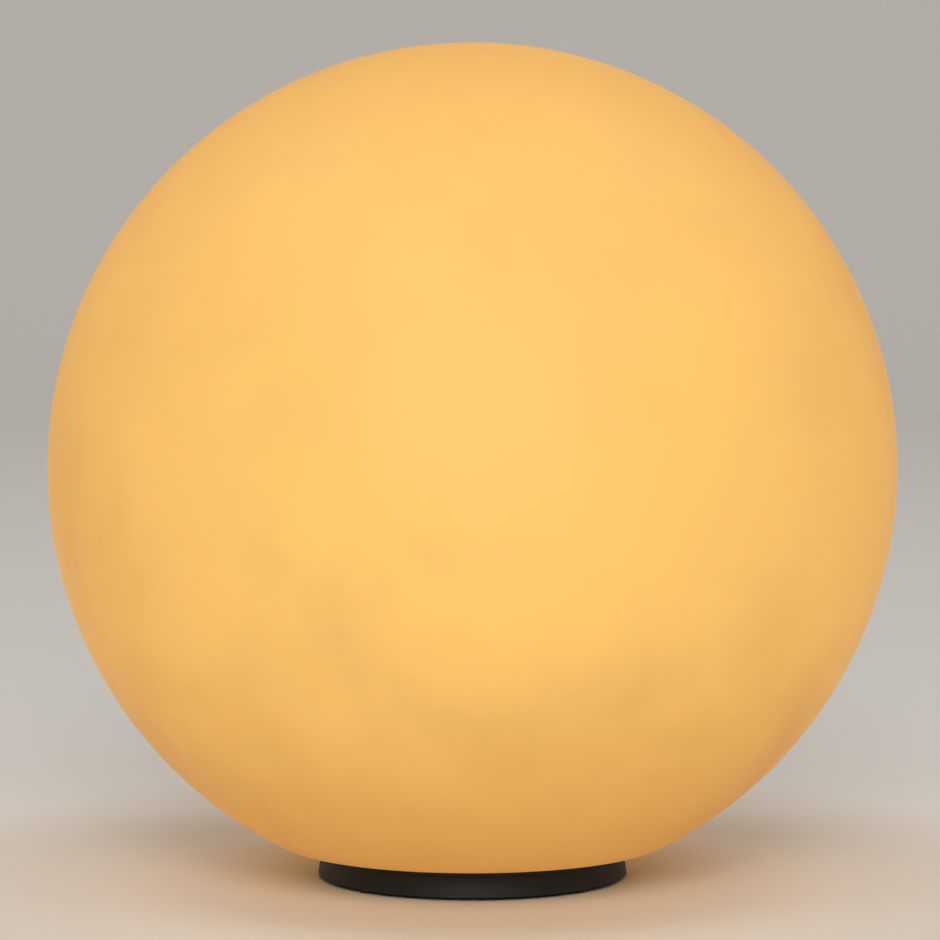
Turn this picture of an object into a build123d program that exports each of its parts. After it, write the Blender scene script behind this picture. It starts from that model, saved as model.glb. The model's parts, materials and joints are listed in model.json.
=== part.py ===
from build123d import *
from math import cos, radians, sin, sqrt, tan
import os

# A floor-standing garden globe light: an opal ball with a flattened underside
# stands on a low black foot that carries a screw-cap lamp.
# Millimetres. The origin is on the ground under the middle of the foot,
# +Z is up and +Y is the rear, where the cord leaves.

# ---- globe ----
globe_radius = 150.0
globe_wall = 3.0
globe_cut = 15.7              # height of the cap that the flat underside cuts off the ball
globe_edge_radius = 14.0      # round between the ball and the flat underside
neck_depth = 14.0             # collar turned up into the ball round the opening
neck_edge_radius = 4.0
neck_clearance = 1.0          # between the neck and the base's collar

# ---- base housing ----
flange_width = 7.4            # of the foot's top beside the collar
foot_flare = 1.0              # the skirt is this much wider at the ground
foot_height = 11.5            # ground to the globe's flat underside
flange_thickness = 3.0
collar_radius = 46.6
collar_roof = 2.6             # of the collar above the roof of the cord box
collar_chamfer = 2.5
shoulder_rise = 4.5           # of the shallow cone above the collar
tower_margin = 2.0            # of the tower's top round the lampholder
tower_draft = 2.0
tower_height = 5.0
collar_wall = 5.6
roof_wall = 2.5

# ---- foot ring, screwed under the housing's flange ----
skirt_wall = 2.0
ring_floor = 2.5
ring_gap = 0.3                # between the ring and the housing's collar
ring_seat_play = 0.1
ring_screw_count = 3
ring_screw_inset = 2.7        # from the collar to the screws' axes
ring_screw_radius = 1.1
ring_screw_head = 2.0
ring_screw_head_height = 1.2
ring_screw_length = 8.2
ring_screw_sunk = 0.4
ring_boss_radius = 2.4

# ---- ring seal between base and globe ----
seal_section = 3.9
seal_squeeze_gap = 0.3        # what the seal takes up when it is squeezed
seal_height = 6.5             # above the flange
groove_play = 0.15

# ---- rubber feet ----
pad_radius = 3.4
pad_inset = 4.2               # from the collar to the pads' middles
pad_proud = 1.2
pad_sunk = 1.3
pad_play = 0.1
pad_count = 4

# ---- underside cover, its gasket and screws ----
cover_thickness = 2.6
cover_setback = 0.8           # above the skirt's lower edge
cover_play = 0.3
cover_lap = 2.5               # how far the cover laps over the collar's wall
cover_dish_inner = 12.0
cover_dish_edge = 3.0         # between the dish and the screws' bosses
cover_dish_depth = 0.8
gasket_thickness = 1.4
gasket_width = 2.2
boss_radius = 4.0
boss_inset = 7.0              # from the chamber's wall to the bosses' axes
boss_count = 4
screw_radius = 1.5
screw_head_radius = 3.0
screw_head_height = 1.6
screw_length = 12.0
screw_play = 0.05
thread_play = 0.1             # between plain stand-ins for mating threads

# ---- cord gland and the box round it ----
gland_radius = 6.0
gland_wall = 1.8
gland_nut_wall = 1.5          # over the thread, at the flats
gland_flange = 5.0
gland_inner_length = 8.0
gland_outer_length = 7.0
gland_washer_thickness = 1.0
gland_nut_length = 13.0
gland_nut_hex = 7.0
gland_mouth = 3.9
gland_sleeve_wall = 1.0       # over the rubber bush
gland_seal_play = 0.1
gland_seal_bore = 3.5
gland_seal_length = 9.0
locknut_thickness = 4.0
bay_play = 2.34               # on each side of the gland's corners
bay_front = 10.0              # distance of the gland's wall from the middle
box_wall = 2.5
box_roof = 1.8
box_play = 0.1
box_screw_spread = 7.0
box_screw_inset = 5.0         # from the chamber's wall to the screws' axes
cord_notch_width = 9.0
gland_edge = 1.5              # wall left under the gland's hole

# ---- lampholder ----
nipple_radius = 5.0
nipple_bore = 4.0
nipple_below = 7.0
nipple_above = 6.5
nipple_nut_flats = 14.0
nipple_nut_thickness = 3.5
nipple_washer_radius = 8.0
nipple_washer_thickness = 1.0
holder_lip = 3.3              # of the holder's wall round the mouth seal
holder_wall = 2.2
holder_cap_height = 16.0
holder_cap_round = 7.0
holder_lap = 4.0
holder_grip_count = 16
holder_grip_depth = 1.0
core_margin = 0.7             # of the core round the screw shell
core_flange_play = 0.5
core_flange_height = 2.0
core_height = 9.5
core_well_radius = 9.0
core_well_depth = 2.5
contact_rise = 2.0            # of the lamp's tip above the core
shell_wall = 0.5
contact_thickness = 0.6
contact_width = 6.0
terminal_spread = 7.6         # of the holder's two terminals from the middle
terminal_depth = 5.5
terminal_screw_radius = 1.7
mouth_seal_height = 4.5
mouth_seal_wall = 2.4
mouth_seal_play = 0.3

# ---- lamp: screw cap and pear-shaped glass ----
lamp_insertion = 25.0         # depth of the lamp's tip below the holder's mouth
lamp_thread_radius = 13.05
lamp_thread_play = 0.35
lamp_collar_step = 0.85       # of the plain collar beyond the thread
lamp_cap_wall = 0.5
lamp_cap_height = 26.5
lamp_thread_top = 22.0
lamp_tip_radius = 4.6
lamp_tip_height = 1.0
lamp_skirt_height = 4.5       # of the insulating cone below the thread
lamp_length = 104.5
bulb_radius = 30.0
bulb_neck_play = 0.3          # between the glass and the cap's collar
bulb_neck_curve = 45.0
glass_wall = 0.9
stem_radius = 3.4
stem_height = 27.0
filament_count = 4
filament_length = 36.0
filament_radius = 0.8
filament_low_circle = 9.0
filament_high_circle = 5.5
support_radius = 0.35
driver_gap = 0.25

# ---- terminal block and inner wires ----
block_width = 21.0
block_depth = 16.0
block_height = 11.0
block_inset = 14.0            # from the chamber's wall to the block's middle
block_pole_spread = 5.4
block_pole_radius = 3.2
clamp_bore = 1.6
block_screw_radius = 1.6
block_screw_spread = 4.4
wire_radius = 0.95
wire_spread = 1.6

# ---- radii and widths that follow ----
foot_radius = collar_radius + flange_width
neck_radius = collar_radius + neck_clearance
chamber_radius = collar_radius - collar_wall
boss_circle = chamber_radius - boss_inset
ring_screw_circle = collar_radius + ring_screw_inset
pad_circle = collar_radius + pad_inset
block_back = chamber_radius - block_inset
cover_radius = chamber_radius + cover_lap - cover_play
cover_dish_outer = boss_circle - boss_radius - cover_dish_edge
gland_flats = 2 * (gland_radius + gland_nut_wall)
gland_bore = gland_radius - gland_wall
gland_seal_radius = gland_radius - gland_sleeve_wall - gland_seal_play
bay_width = gland_flats / cos(radians(30)) + 2 * bay_play
lamp_collar_radius = lamp_thread_radius + lamp_collar_step
bulb_neck_radius = lamp_collar_radius - lamp_cap_wall - bulb_neck_play
shell_inner = lamp_thread_radius + lamp_thread_play
shell_outer = shell_inner + shell_wall
mouth_seal_inner = lamp_collar_radius + mouth_seal_play
mouth_seal_outer = mouth_seal_inner + mouth_seal_wall
holder_radius = mouth_seal_outer + thread_play + holder_lip
core_radius = shell_outer + core_margin
core_flange_radius = holder_radius - holder_wall - core_flange_play
tower_radius = holder_radius + tower_margin

# ---- heights that follow ----
flat_z = foot_height
globe_z = flat_z + globe_radius - globe_cut
skirt_z = pad_proud
flange_under_z = foot_height - flange_thickness
ring_floor_z = skirt_z + ring_floor
ring_screw_z = skirt_z + ring_screw_sunk
cover_z = skirt_z + cover_setback
cover_top_z = cover_z + cover_thickness
ledge_z = cover_top_z + gasket_thickness
gland_z = ledge_z + gland_edge + gland_radius + thread_play
bay_top_z = gland_z + gland_flats / 2 + 1.0
box_top_z = bay_top_z + box_roof
collar_top_z = box_top_z + collar_roof
shoulder_top_z = collar_top_z + shoulder_rise
tower_z = shoulder_top_z + tower_height
chamber_top_z = tower_z - roof_wall
cap_top_z = tower_z + holder_cap_height
core_z = cap_top_z
core_top_z = core_z + core_height
tip_z = core_top_z + contact_rise
holder_top_z = tip_z + lamp_insertion
bulb_z = tip_z + lamp_length - bulb_radius
stem_z = tip_z + lamp_cap_height - 1.5
block_top_z = collar_top_z - 2.0
block_z = block_top_z - block_height
clamp_z = block_z + block_height * 0.45

os.makedirs("parts", exist_ok=True)


def turned(*points):
    """A solid turned about the upright axis from a closed outline of (radius, height)."""
    return revolve(make_face(Polyline(*[(r, 0, z) for r, z in points], close=True)), Axis.Z)


def rod(radius, low, high, x=0.0, y=0.0):
    """An upright round bar."""
    return Pos(x, y, low) * extrude(Circle(radius), high - low)


def pipe(outer, inner, low, high):
    """An upright tube about the axis."""
    return Pos(0, 0, low) * extrude(Circle(outer) - Circle(inner), high - low)


def rearward(sketch, start, end, height):
    """A sketch pushed along +Y from start to end, about a line at the given height."""
    plane = Plane(origin=(0, start, height), x_dir=(1, 0, 0), z_dir=(0, 1, 0))
    return extrude(plane * sketch, end - start)


def hexagon(flats):
    """A hexagon by its width across flats, with a flat above and below."""
    return RegularPolygon(flats / 2, 6, major_radius=False)


def block(x0, x1, y0, y1, z0, z1):
    """A box between two corners."""
    return Pos((x0 + x1) / 2, (y0 + y1) / 2, (z0 + z1) / 2) * Box(x1 - x0, y1 - y0, z1 - z0)


def around(radius, count, start=0.0):
    """The (x, y) places of a ring of features."""
    turns = [radians(start + 360 / count * i) for i in range(count)]
    return [(radius * cos(t), radius * sin(t)) for t in turns]


def save(shape, name):
    export_step(shape, f"parts/{name}.step")


# ---------------------------------------------------------------- globe

def globe_shade():
    """One even wall: ball, rounded edge, flat underside and the neck turned up inside."""
    reach = globe_radius - globe_edge_radius
    edge_z = flat_z + globe_edge_radius
    edge_r = sqrt(reach ** 2 - (globe_z - edge_z) ** 2)
    neck_r = neck_radius + neck_edge_radius
    neck_z = flat_z + neck_edge_radius
    rim_z = flat_z + neck_depth

    def skin(inset):
        """The outline's curves at a depth below the outer face, from the crown to the rim."""
        ball = globe_radius - inset
        edge = globe_edge_radius - inset
        neck = neck_edge_radius - inset
        share = ball / reach
        crown = (0, globe_z + ball)
        join = (edge_r * share, globe_z + (edge_z - globe_z) * share)
        foot = (edge_r, flat_z + inset)
        lean = sqrt((join[0] + foot[0] - 2 * edge_r) ** 2 + (join[1] + foot[1] - 2 * edge_z) ** 2)
        bulge = (
            edge_r + edge * (join[0] + foot[0] - 2 * edge_r) / lean,
            edge_z + edge * (join[1] + foot[1] - 2 * edge_z) / lean,
        )
        turn = (neck_r - neck * sqrt(0.5), neck_z - neck * sqrt(0.5))
        return [
            (crown, (ball, globe_z), join),
            (join, bulge, foot),
            (foot, (neck_r, flat_z + inset)),
            ((neck_r, flat_z + inset), turn, (neck_radius + inset, neck_z)),
            ((neck_radius + inset, neck_z), (neck_radius + inset, rim_z)),
        ]

    outer, inner = skin(0.0), skin(globe_wall)
    spans = outer + inner + [(outer[-1][-1], inner[-1][-1]), (outer[0][0], inner[0][0])]
    curves = []
    for span in spans:
        ends = [(r, 0, z) for r, z in span]
        curves.append(ThreePointArc(*ends) if len(ends) == 3 else Line(*ends))
    return revolve(make_face(curves), Axis.Z)


def globe_seal():
    """The rubber ring in the collar's groove, with a rounded lip towards the neck."""
    reach = neck_radius - seal_squeeze_gap
    back = reach - seal_section
    half, low = seal_section / 2, flat_z + seal_height
    return turned(
        (back, low - half),
        (reach - 1.6, low - half),
        (reach - 0.4, low - 0.6 * half),
        (reach, low),
        (reach - 0.4, low + 0.6 * half),
        (reach - 1.6, low + half),
        (back, low + half),
    )


# ---------------------------------------------------------------- base housing

def housing_envelope():
    """The base's outer form with nothing taken out of it."""
    return turned(
        (0, skirt_z),
        (collar_radius, skirt_z),
        (collar_radius, flange_under_z),
        (foot_radius, flange_under_z),
        (foot_radius, foot_height),
        (collar_radius, foot_height),
        (collar_radius, collar_top_z - collar_chamfer),
        (collar_radius - collar_chamfer, collar_top_z),
        (tower_radius + tower_draft, shoulder_top_z),
        (tower_radius, tower_z),
        (0, tower_z),
    )


def chamber():
    """The wiring space inside the collar and tower, and the recess that takes the cover."""
    roof = collar_top_z - roof_wall
    space = turned(
        (0, skirt_z - 1),
        (chamber_radius, skirt_z - 1),
        (chamber_radius, roof),
        (tower_radius + tower_draft - roof_wall, shoulder_top_z - roof_wall),
        (tower_radius - roof_wall, chamber_top_z),
        (0, chamber_top_z),
    )
    return space + rod(chamber_radius + cover_lap, skirt_z - 1, ledge_z)


def bay(grow, low, high):
    """The gland's bay, open to the underside and the rear, grown by a wall on three sides."""
    half = bay_width / 2 + grow
    return block(-half, half, bay_front - grow, foot_radius, low, high)


def box_screw_places():
    y = chamber_radius - box_screw_inset
    return [(-box_screw_spread, y), (box_screw_spread, y)]


def ring_bosses():
    """The bosses under the flange that take the foot ring's screws, each webbed to the collar."""
    bosses = []
    for i in range(ring_screw_count):
        low, high = ring_floor_z + ring_seat_play, flange_under_z + 1
        boss = rod(ring_boss_radius, low, high, ring_screw_circle, 0)
        boss += block(collar_radius - 1, ring_screw_circle, -1, 1, low, high)
        bosses.append(Rot(0, 0, 360 / ring_screw_count * i - 90) * boss)
    return bosses


def base_housing():
    """The moulded base: flange, collar with seal groove, shoulder and tower."""
    envelope = housing_envelope()
    body = envelope - chamber()
    body += ring_bosses()
    groove_floor = neck_radius - seal_squeeze_gap - seal_section - groove_play
    groove_half = seal_section / 2 + groove_play
    seal_z = flat_z + seal_height
    body -= pipe(collar_radius + 1, groove_floor, seal_z - groove_half, seal_z + groove_half)
    for x, y in box_screw_places():
        body += rod(ring_boss_radius, box_top_z + box_play / 2, collar_top_z, x, y) & envelope
    for x, y in around(boss_circle, boss_count, 45):
        body += rod(boss_radius, cover_top_z, shoulder_top_z, x, y) & envelope
    post = block(-4, 4, -block_back - 3, -block_back + 3, block_top_z, tower_z)
    body += post & envelope
    for x, y in box_screw_places():
        body -= rod(ring_screw_radius + screw_play, box_top_z, box_top_z + 2.9, x, y)
    notch = cord_notch_width / 2
    body -= block(-notch, notch, bay_front + 5, foot_radius + 5, skirt_z - 1, flange_under_z)
    body -= rod(nipple_radius + thread_play, chamber_top_z - 1, tower_z + 1)
    for x, y in around(ring_screw_circle, ring_screw_count, -90):
        top = ring_screw_z + ring_screw_length + 0.5
        body -= rod(ring_screw_radius + screw_play, ring_floor_z, top, x, y)
    for x, y in around(boss_circle, boss_count, 45):
        body -= rod(screw_radius + screw_play, cover_z, cover_z + screw_length, x, y)
    body -= rod(screw_radius + screw_play, block_top_z - 1, block_top_z + 4, 0, -block_back)
    rim = body.edges().filter_by(GeomType.CIRCLE).filter_by(
        lambda e: abs(e.radius - foot_radius) < 0.01 and abs(e.center().Z - foot_height) < 0.01
    )
    return chamfer(rim, 0.6)


def foot_ring():
    """The ring under the flange: a flared skirt and a floor that carries the rubber feet."""
    inner, top = collar_radius + ring_gap, flange_under_z - ring_seat_play
    ring = turned(
        (inner, skirt_z),
        (foot_radius + foot_flare, skirt_z),
        (foot_radius, top),
        (foot_radius - skirt_wall, top),
        (foot_radius - skirt_wall, ring_floor_z),
        (inner, ring_floor_z),
    )
    for x, y in around(pad_circle, pad_count, 45):
        ring -= rod(pad_radius + pad_play, skirt_z - 1, skirt_z + pad_sunk, x, y)
    for x, y in around(ring_screw_circle, ring_screw_count, -90):
        ring -= rod(ring_screw_radius + 0.1, skirt_z, ring_floor_z + 1, x, y)
        head_top = ring_screw_z + ring_screw_head_height
        ring -= rod(ring_screw_head + 0.2, skirt_z - 1, head_top, x, y)
    notch = cord_notch_width / 2
    return ring - block(-notch, notch, collar_radius - 5, foot_radius + 5, skirt_z - 1, foot_height)


def foot_screws():
    """The small screws from below through the foot ring into the housing's bosses."""
    one = rod(ring_screw_head, 0, ring_screw_head_height)
    one += rod(ring_screw_radius, ring_screw_head_height, ring_screw_length)
    places = around(ring_screw_circle, ring_screw_count, -90)
    return Compound(children=[Pos(x, y, ring_screw_z) * one for x, y in places])


def rubber_feet():
    """Four soft buttons, each set in its recess under the foot ring."""
    button = rod(pad_radius, 0, pad_proud + pad_sunk)
    button = chamfer(button.edges().group_by(Axis.Z)[0], 0.4)
    return Compound(children=[Pos(x, y, 0) * button for x, y in around(pad_circle, pad_count, 45)])


def cord_box():
    """The box that closes the gland's bay off from the wiring space and carries the gland."""
    box = bay(box_wall, ledge_z, box_top_z) & rod(chamber_radius - box_play, ledge_z, box_top_z)
    box -= bay(0, ledge_z - 1, bay_top_z)
    box -= rearward(Circle(gland_radius + thread_play), 0, bay_front + 1, gland_z)
    for x, y in box_screw_places():
        box -= rod(ring_screw_radius + 0.1, ledge_z, box_top_z + 1, x, y)
        box -= rod(ring_screw_head + 0.2, ledge_z, bay_top_z + 0.9, x, y)
    return box


def cord_box_screws():
    """Two small screws up through the box's roof into the housing."""
    one = rod(ring_screw_head, 0, 0.8) + rod(ring_screw_radius, 0.8, 4.4)
    places = box_screw_places()
    return Compound(children=[Pos(x, y, bay_top_z + 0.1) * one for x, y in places])


# ---------------------------------------------------------------- underside cover

def cover_outline():
    """A disc with a place left out for the gland's bay."""
    bay = bay_width + 2 * cover_play
    front = bay_front - cover_play
    return Circle(cover_radius) - Pos(0, front + foot_radius / 2) * Rectangle(bay, foot_radius)


def base_cover():
    """The flat cover, dished underneath, with sunk screw holes."""
    plate = Pos(0, 0, cover_z) * extrude(cover_outline(), cover_thickness)
    dish = pipe(cover_dish_outer, cover_dish_inner, cover_z - 1, cover_z + cover_dish_depth)
    plate -= dish - block(
        -bay_width, bay_width, bay_front - 4, foot_radius, cover_z - 2, cover_top_z
    )
    for x, y in around(boss_circle, boss_count, 45):
        plate -= rod(screw_radius + 0.2, cover_z - 1, cover_top_z + 1, x, y)
        plate -= rod(screw_head_radius + 0.3, cover_z - 1, cover_z + screw_head_height, x, y)
    return plate


def cover_gasket():
    """A flat rubber gasket that follows the cover's outline."""
    outline = cover_outline()
    opening = offset(outline, -gasket_width)
    return Pos(0, 0, cover_top_z) * extrude(outline - opening, gasket_thickness)


def screw(length, head_radius=screw_head_radius, head_height=screw_head_height):
    """A cheese-head screw standing on its head, which is at the bottom."""
    return rod(head_radius, 0, head_height) + rod(screw_radius, head_height, length)


def cover_screws():
    """Four screws from below through the cover into the bosses."""
    one = Pos(0, 0, cover_z) * screw(screw_length - 1)
    return Compound(children=[Pos(x, y, 0) * one for x, y in around(boss_circle, boss_count, 45)])


# ---------------------------------------------------------------- cord gland

def gland_body():
    """The gland's through piece: inner thread, hexagon and outer sleeve for the nut."""
    face = bay_front + gland_washer_thickness
    inner_end = bay_front - box_wall - gland_inner_length
    body = rearward(hexagon(gland_flats), face, face + gland_flange, gland_z)
    body += rearward(Circle(gland_radius), inner_end, face + 1, gland_z)
    sleeve_end = face + gland_flange + gland_outer_length
    body += rearward(Circle(gland_radius), face + gland_flange - 1, sleeve_end, gland_z)
    body -= rearward(Circle(gland_bore), inner_end - 1, sleeve_end, gland_z)
    seat = sleeve_end + 0.5 - gland_seal_length
    return body - rearward(Circle(gland_seal_radius + gland_seal_play), seat, sleeve_end + 1, gland_z)


def gland_washer():
    """The flat rubber washer between the hexagon and the housing's wall."""
    ring = Circle(gland_flats / 2 - 0.3) - Circle(gland_radius + thread_play)
    return rearward(ring, bay_front, bay_front + gland_washer_thickness, gland_z)


def gland_seal():
    """The rubber bush that grips the cord."""
    face = bay_front + gland_washer_thickness
    end = face + gland_flange + gland_outer_length + 0.5
    ring = Circle(gland_seal_radius) - Circle(gland_seal_bore)
    return rearward(ring, end - gland_seal_length, end, gland_z)


def gland_nut():
    """The domed nut: a hexagon that runs out into a rounded nose."""
    start = bay_front + gland_washer_thickness + gland_flange + 0.3
    end = start + gland_nut_length
    sleeve_end = start - 0.3 + gland_outer_length + 0.5
    nut = rearward(hexagon(gland_flats), start, start + gland_nut_hex, gland_z)
    nose = rearward(Circle(gland_flats / 2 - 0.2), start + gland_nut_hex - 1, end, gland_z)
    nut += fillet(nose.edges().group_by(Axis.Y)[-1], gland_nut_length - gland_nut_hex - 2.0)
    nut -= rearward(Circle(gland_radius + thread_play), start - 1, sleeve_end + 0.1, gland_z)
    return nut - rearward(Circle(gland_mouth), start, end + 1, gland_z)


def gland_locknut():
    """The thin nut inside the chamber."""
    end = bay_front - box_wall
    shape = hexagon(gland_flats) - Circle(gland_radius + thread_play)
    return rearward(shape, end - locknut_thickness, end, gland_z)


# ---------------------------------------------------------------- lampholder

def holder_nipple():
    """The hollow threaded tube that fixes the holder and passes the wires."""
    return pipe(nipple_radius, nipple_bore, chamber_top_z - nipple_below, tower_z + nipple_above)


def nipple_washer():
    low = chamber_top_z - nipple_washer_thickness
    return pipe(nipple_washer_radius, nipple_radius + thread_play, low, chamber_top_z)


def nipple_nut():
    top = chamber_top_z - nipple_washer_thickness
    shape = hexagon(nipple_nut_flats) - Circle(nipple_radius + thread_play)
    return Pos(0, 0, top - nipple_nut_thickness) * extrude(shape, nipple_nut_thickness)


def holder_cap():
    """The holder's lower dome, with a threaded boss on the nipple."""
    outer_r = holder_radius - holder_wall - thread_play
    dome = rod(holder_radius, tower_z, cap_top_z - holder_lap)
    dome = fillet(dome.edges().group_by(Axis.Z)[0], holder_cap_round)
    dome += rod(outer_r, cap_top_z - holder_lap - 1, cap_top_z)
    room = rod(outer_r - holder_wall, tower_z + holder_wall, cap_top_z + 1)
    room = chamfer(room.edges().group_by(Axis.Z)[0], (holder_cap_round - holder_wall) / 2)
    dome -= room
    dome += rod(nipple_radius + 2.5, tower_z + 1, tower_z + nipple_above)
    return dome - rod(nipple_radius + thread_play, tower_z - 1, tower_z + nipple_above + 1)


def holder_shell():
    """The holder's upper sleeve: gripped outside, stepped inside for core and seal."""
    low = cap_top_z - holder_lap
    sleeve = rod(holder_radius, low, holder_top_z)
    sleeve = fillet(sleeve.edges().group_by(Axis.Z)[-1], 1.5)
    grip = rod(holder_grip_depth, low + 6, holder_top_z - 9)
    for x, y in around(holder_radius, holder_grip_count):
        sleeve -= Pos(x, y, 0) * grip
    sleeve -= rod(holder_radius - holder_wall, low - 1, core_z + core_flange_height)
    sleeve -= rod(core_radius + 0.3, core_z, core_top_z)
    sleeve -= rod(shell_outer + 0.3, core_top_z - 1, holder_top_z + 1)
    seat = holder_top_z - mouth_seal_height + 1
    return sleeve - rod(mouth_seal_outer + thread_play, seat, holder_top_z + 1)


def mouth_seal():
    """The soft ring that closes the holder's mouth round the lamp's cap."""
    low = holder_top_z - mouth_seal_height + 1
    top = holder_top_z + 1
    inner, outer = mouth_seal_inner, mouth_seal_outer
    return turned(
        (inner, low), (outer, low), (outer, top - 1.2), (outer - 1.2, top), (inner, top)
    )


def holder_core():
    """The insulating insert: a well for the contact, slots for the leaves, screw holes."""
    core = rod(core_radius, core_z, core_top_z)
    core += rod(core_flange_radius, core_z, core_z + core_flange_height)
    core -= rod(core_well_radius, core_top_z - core_well_depth, core_top_z + 1)
    slot = contact_width / 2 + 0.2
    leaf = contact_thickness / 2 + 0.2
    for side in (-1, 1):
        x = side * terminal_spread
        core -= block(x - leaf, x + leaf, -slot, slot, core_z + terminal_depth - 1, core_top_z + 1)
        core -= rod(terminal_screw_radius + 0.2, core_z - 1, core_z + terminal_depth, x, 0)
    return core


def screw_shell():
    """The holder's thin screw shell, flanged on top of the core."""
    wall = pipe(shell_outer, shell_inner, core_top_z, holder_top_z - mouth_seal_height)
    return wall + pipe(shell_outer, shell_inner - 1.6, core_top_z, core_top_z + shell_wall)


def leaf_strip(path, half_width):
    """A bent metal leaf: an even strip along a path of (x, z) points."""
    line = FilletPolyline(*path, radius=0.8)
    face = Plane.XZ * trace(line, contact_thickness)
    return extrude(face, half_width, both=True)


def centre_contact():
    """The sprung tongue under the lamp's tip."""
    pad_z = tip_z - contact_thickness / 2
    x = -terminal_spread
    low = core_z + terminal_depth - 0.7
    knee = core_top_z - 0.3
    return leaf_strip([(x, low), (x, knee), (-2.2, pad_z), (2.6, pad_z)], contact_width / 2)


def side_contact():
    """The leaf that feeds the screw shell through its flange."""
    x = terminal_spread
    foot_z = core_top_z + shell_wall + contact_thickness / 2 + 0.05
    low = core_z + terminal_depth - 0.7
    return leaf_strip([(x, low), (x, foot_z), (shell_inner - 0.6, foot_z)], contact_width / 2)


def holder_terminal_screws():
    """Two small screws that trap the wires under the core."""
    one = rod(terminal_screw_radius, core_z + terminal_depth - 2.6, core_z + terminal_depth - 0.8)
    return Compound(children=[Pos(s * terminal_spread, 0, 0) * one for s in (-1, 1)])


# ---------------------------------------------------------------- lamp

def lamp_tip():
    """The solder dome that meets the centre contact."""
    tip = rod(lamp_tip_radius, tip_z, tip_z + lamp_tip_height)
    return chamfer(tip.edges().group_by(Axis.Z)[0], 0.4)


def lamp_insulator():
    """The glassy cone between the tip and the threaded shell."""
    low = tip_z + lamp_tip_height
    return turned(
        (0, low),
        (lamp_tip_radius + 0.6, low),
        (lamp_thread_radius - 2.4, tip_z + lamp_skirt_height),
        (0, tip_z + lamp_skirt_height),
    )


def lamp_cap():
    """The plated screw cap: a rolled shoulder, the thread's sleeve and a plain collar."""
    low = tip_z + lamp_skirt_height
    thread_top = tip_z + lamp_thread_top
    top = tip_z + lamp_cap_height
    wall = lamp_cap_wall
    shoulder = lamp_thread_radius - 2.4
    return turned(
        (shoulder - 1.2, low),
        (shoulder, low),
        (lamp_thread_radius, low + 2.2),
        (lamp_thread_radius, thread_top),
        (lamp_collar_radius, thread_top + 1.6),
        (lamp_collar_radius, top),
        (lamp_collar_radius - wall, top),
        (lamp_collar_radius - wall, thread_top + 1.8),
        (lamp_thread_radius - wall, thread_top + 0.2),
        (lamp_thread_radius - wall, low + 2.4),
        (shoulder - 0.2, low + wall),
        (shoulder - 1.2, low + wall),
    )


def bulb_glass():
    """The pear-shaped envelope: a straight neck, a hollow curve and a round crown."""
    low = tip_z + lamp_thread_top + 2.0

    def skin(inset):
        """The outline's curves at a depth below the outer face, from the neck to the crown."""
        neck, ball = bulb_neck_radius - inset, bulb_radius - inset
        curve = bulb_neck_curve + inset
        reach = ball + curve
        drop = sqrt(reach ** 2 - (neck + curve) ** 2)
        centre = (neck + curve, bulb_z - drop)
        join = (ball / reach * centre[0], bulb_z - ball / reach * drop)
        lean = sqrt((join[0] - neck) ** 2 + (join[1] - centre[1]) ** 2)
        depth = curve - sqrt(curve ** 2 - lean ** 2 / 4)
        middle = ((join[0] + neck) / 2, (join[1] + centre[1]) / 2)
        along = ((join[0] - neck) / lean, (join[1] - centre[1]) / lean)
        sag = (middle[0] - depth * along[1], middle[1] + depth * along[0])
        return [
            ((neck, low), (neck, centre[1])),
            ((neck, centre[1]), sag, join),
            (join, (ball, bulb_z), (0, bulb_z + ball)),
        ]

    outer, inner = skin(0.0), skin(glass_wall)
    spans = outer + inner + [(outer[0][0], inner[0][0]), (outer[-1][-1], inner[-1][-1])]
    curves = []
    for span in spans:
        ends = [(r, 0, z) for r, z in span]
        curves.append(ThreePointArc(*ends) if len(ends) == 3 else Line(*ends))
    return revolve(make_face(curves), Axis.Z)


def bulb_stem():
    """The glass stem: a flare that fills the neck, a tapered tube and a button on top."""
    flare = bulb_neck_radius - glass_wall - 0.1
    top = stem_z + stem_height
    return turned(
        (0, stem_z),
        (flare, stem_z),
        (flare, stem_z + 1.2),
        (stem_radius * 1.6, stem_z + 4.5),
        (stem_radius, stem_z + 9.0),
        (stem_radius * 0.8, top - 3.0),
        (stem_radius * 1.15, top - 1.4),
        (stem_radius * 1.15, top - 0.6),
        (stem_radius * 0.8, top),
        (0, top),
    )


def filament_ends(index):
    """The lower and upper end of one leaning light stick."""
    low_z = stem_z + stem_height - 4.0
    turn = radians(360 / filament_count * index + 45)
    high_z = low_z + filament_length
    low = Vector(filament_low_circle * cos(turn), filament_low_circle * sin(turn), low_z)
    high = Vector(filament_high_circle * cos(turn), filament_high_circle * sin(turn), high_z)
    return low, high


def bar_between(start, end, radius):
    """A round bar from one point to another."""
    plane = Plane(origin=start, z_dir=end - start)
    return extrude(plane * Circle(radius), (end - start).length)


def lamp_filaments():
    """The four light sticks, leaning in towards the top."""
    sticks = [bar_between(*filament_ends(i), filament_radius) for i in range(filament_count)]
    return Compound(children=sticks)


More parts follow.
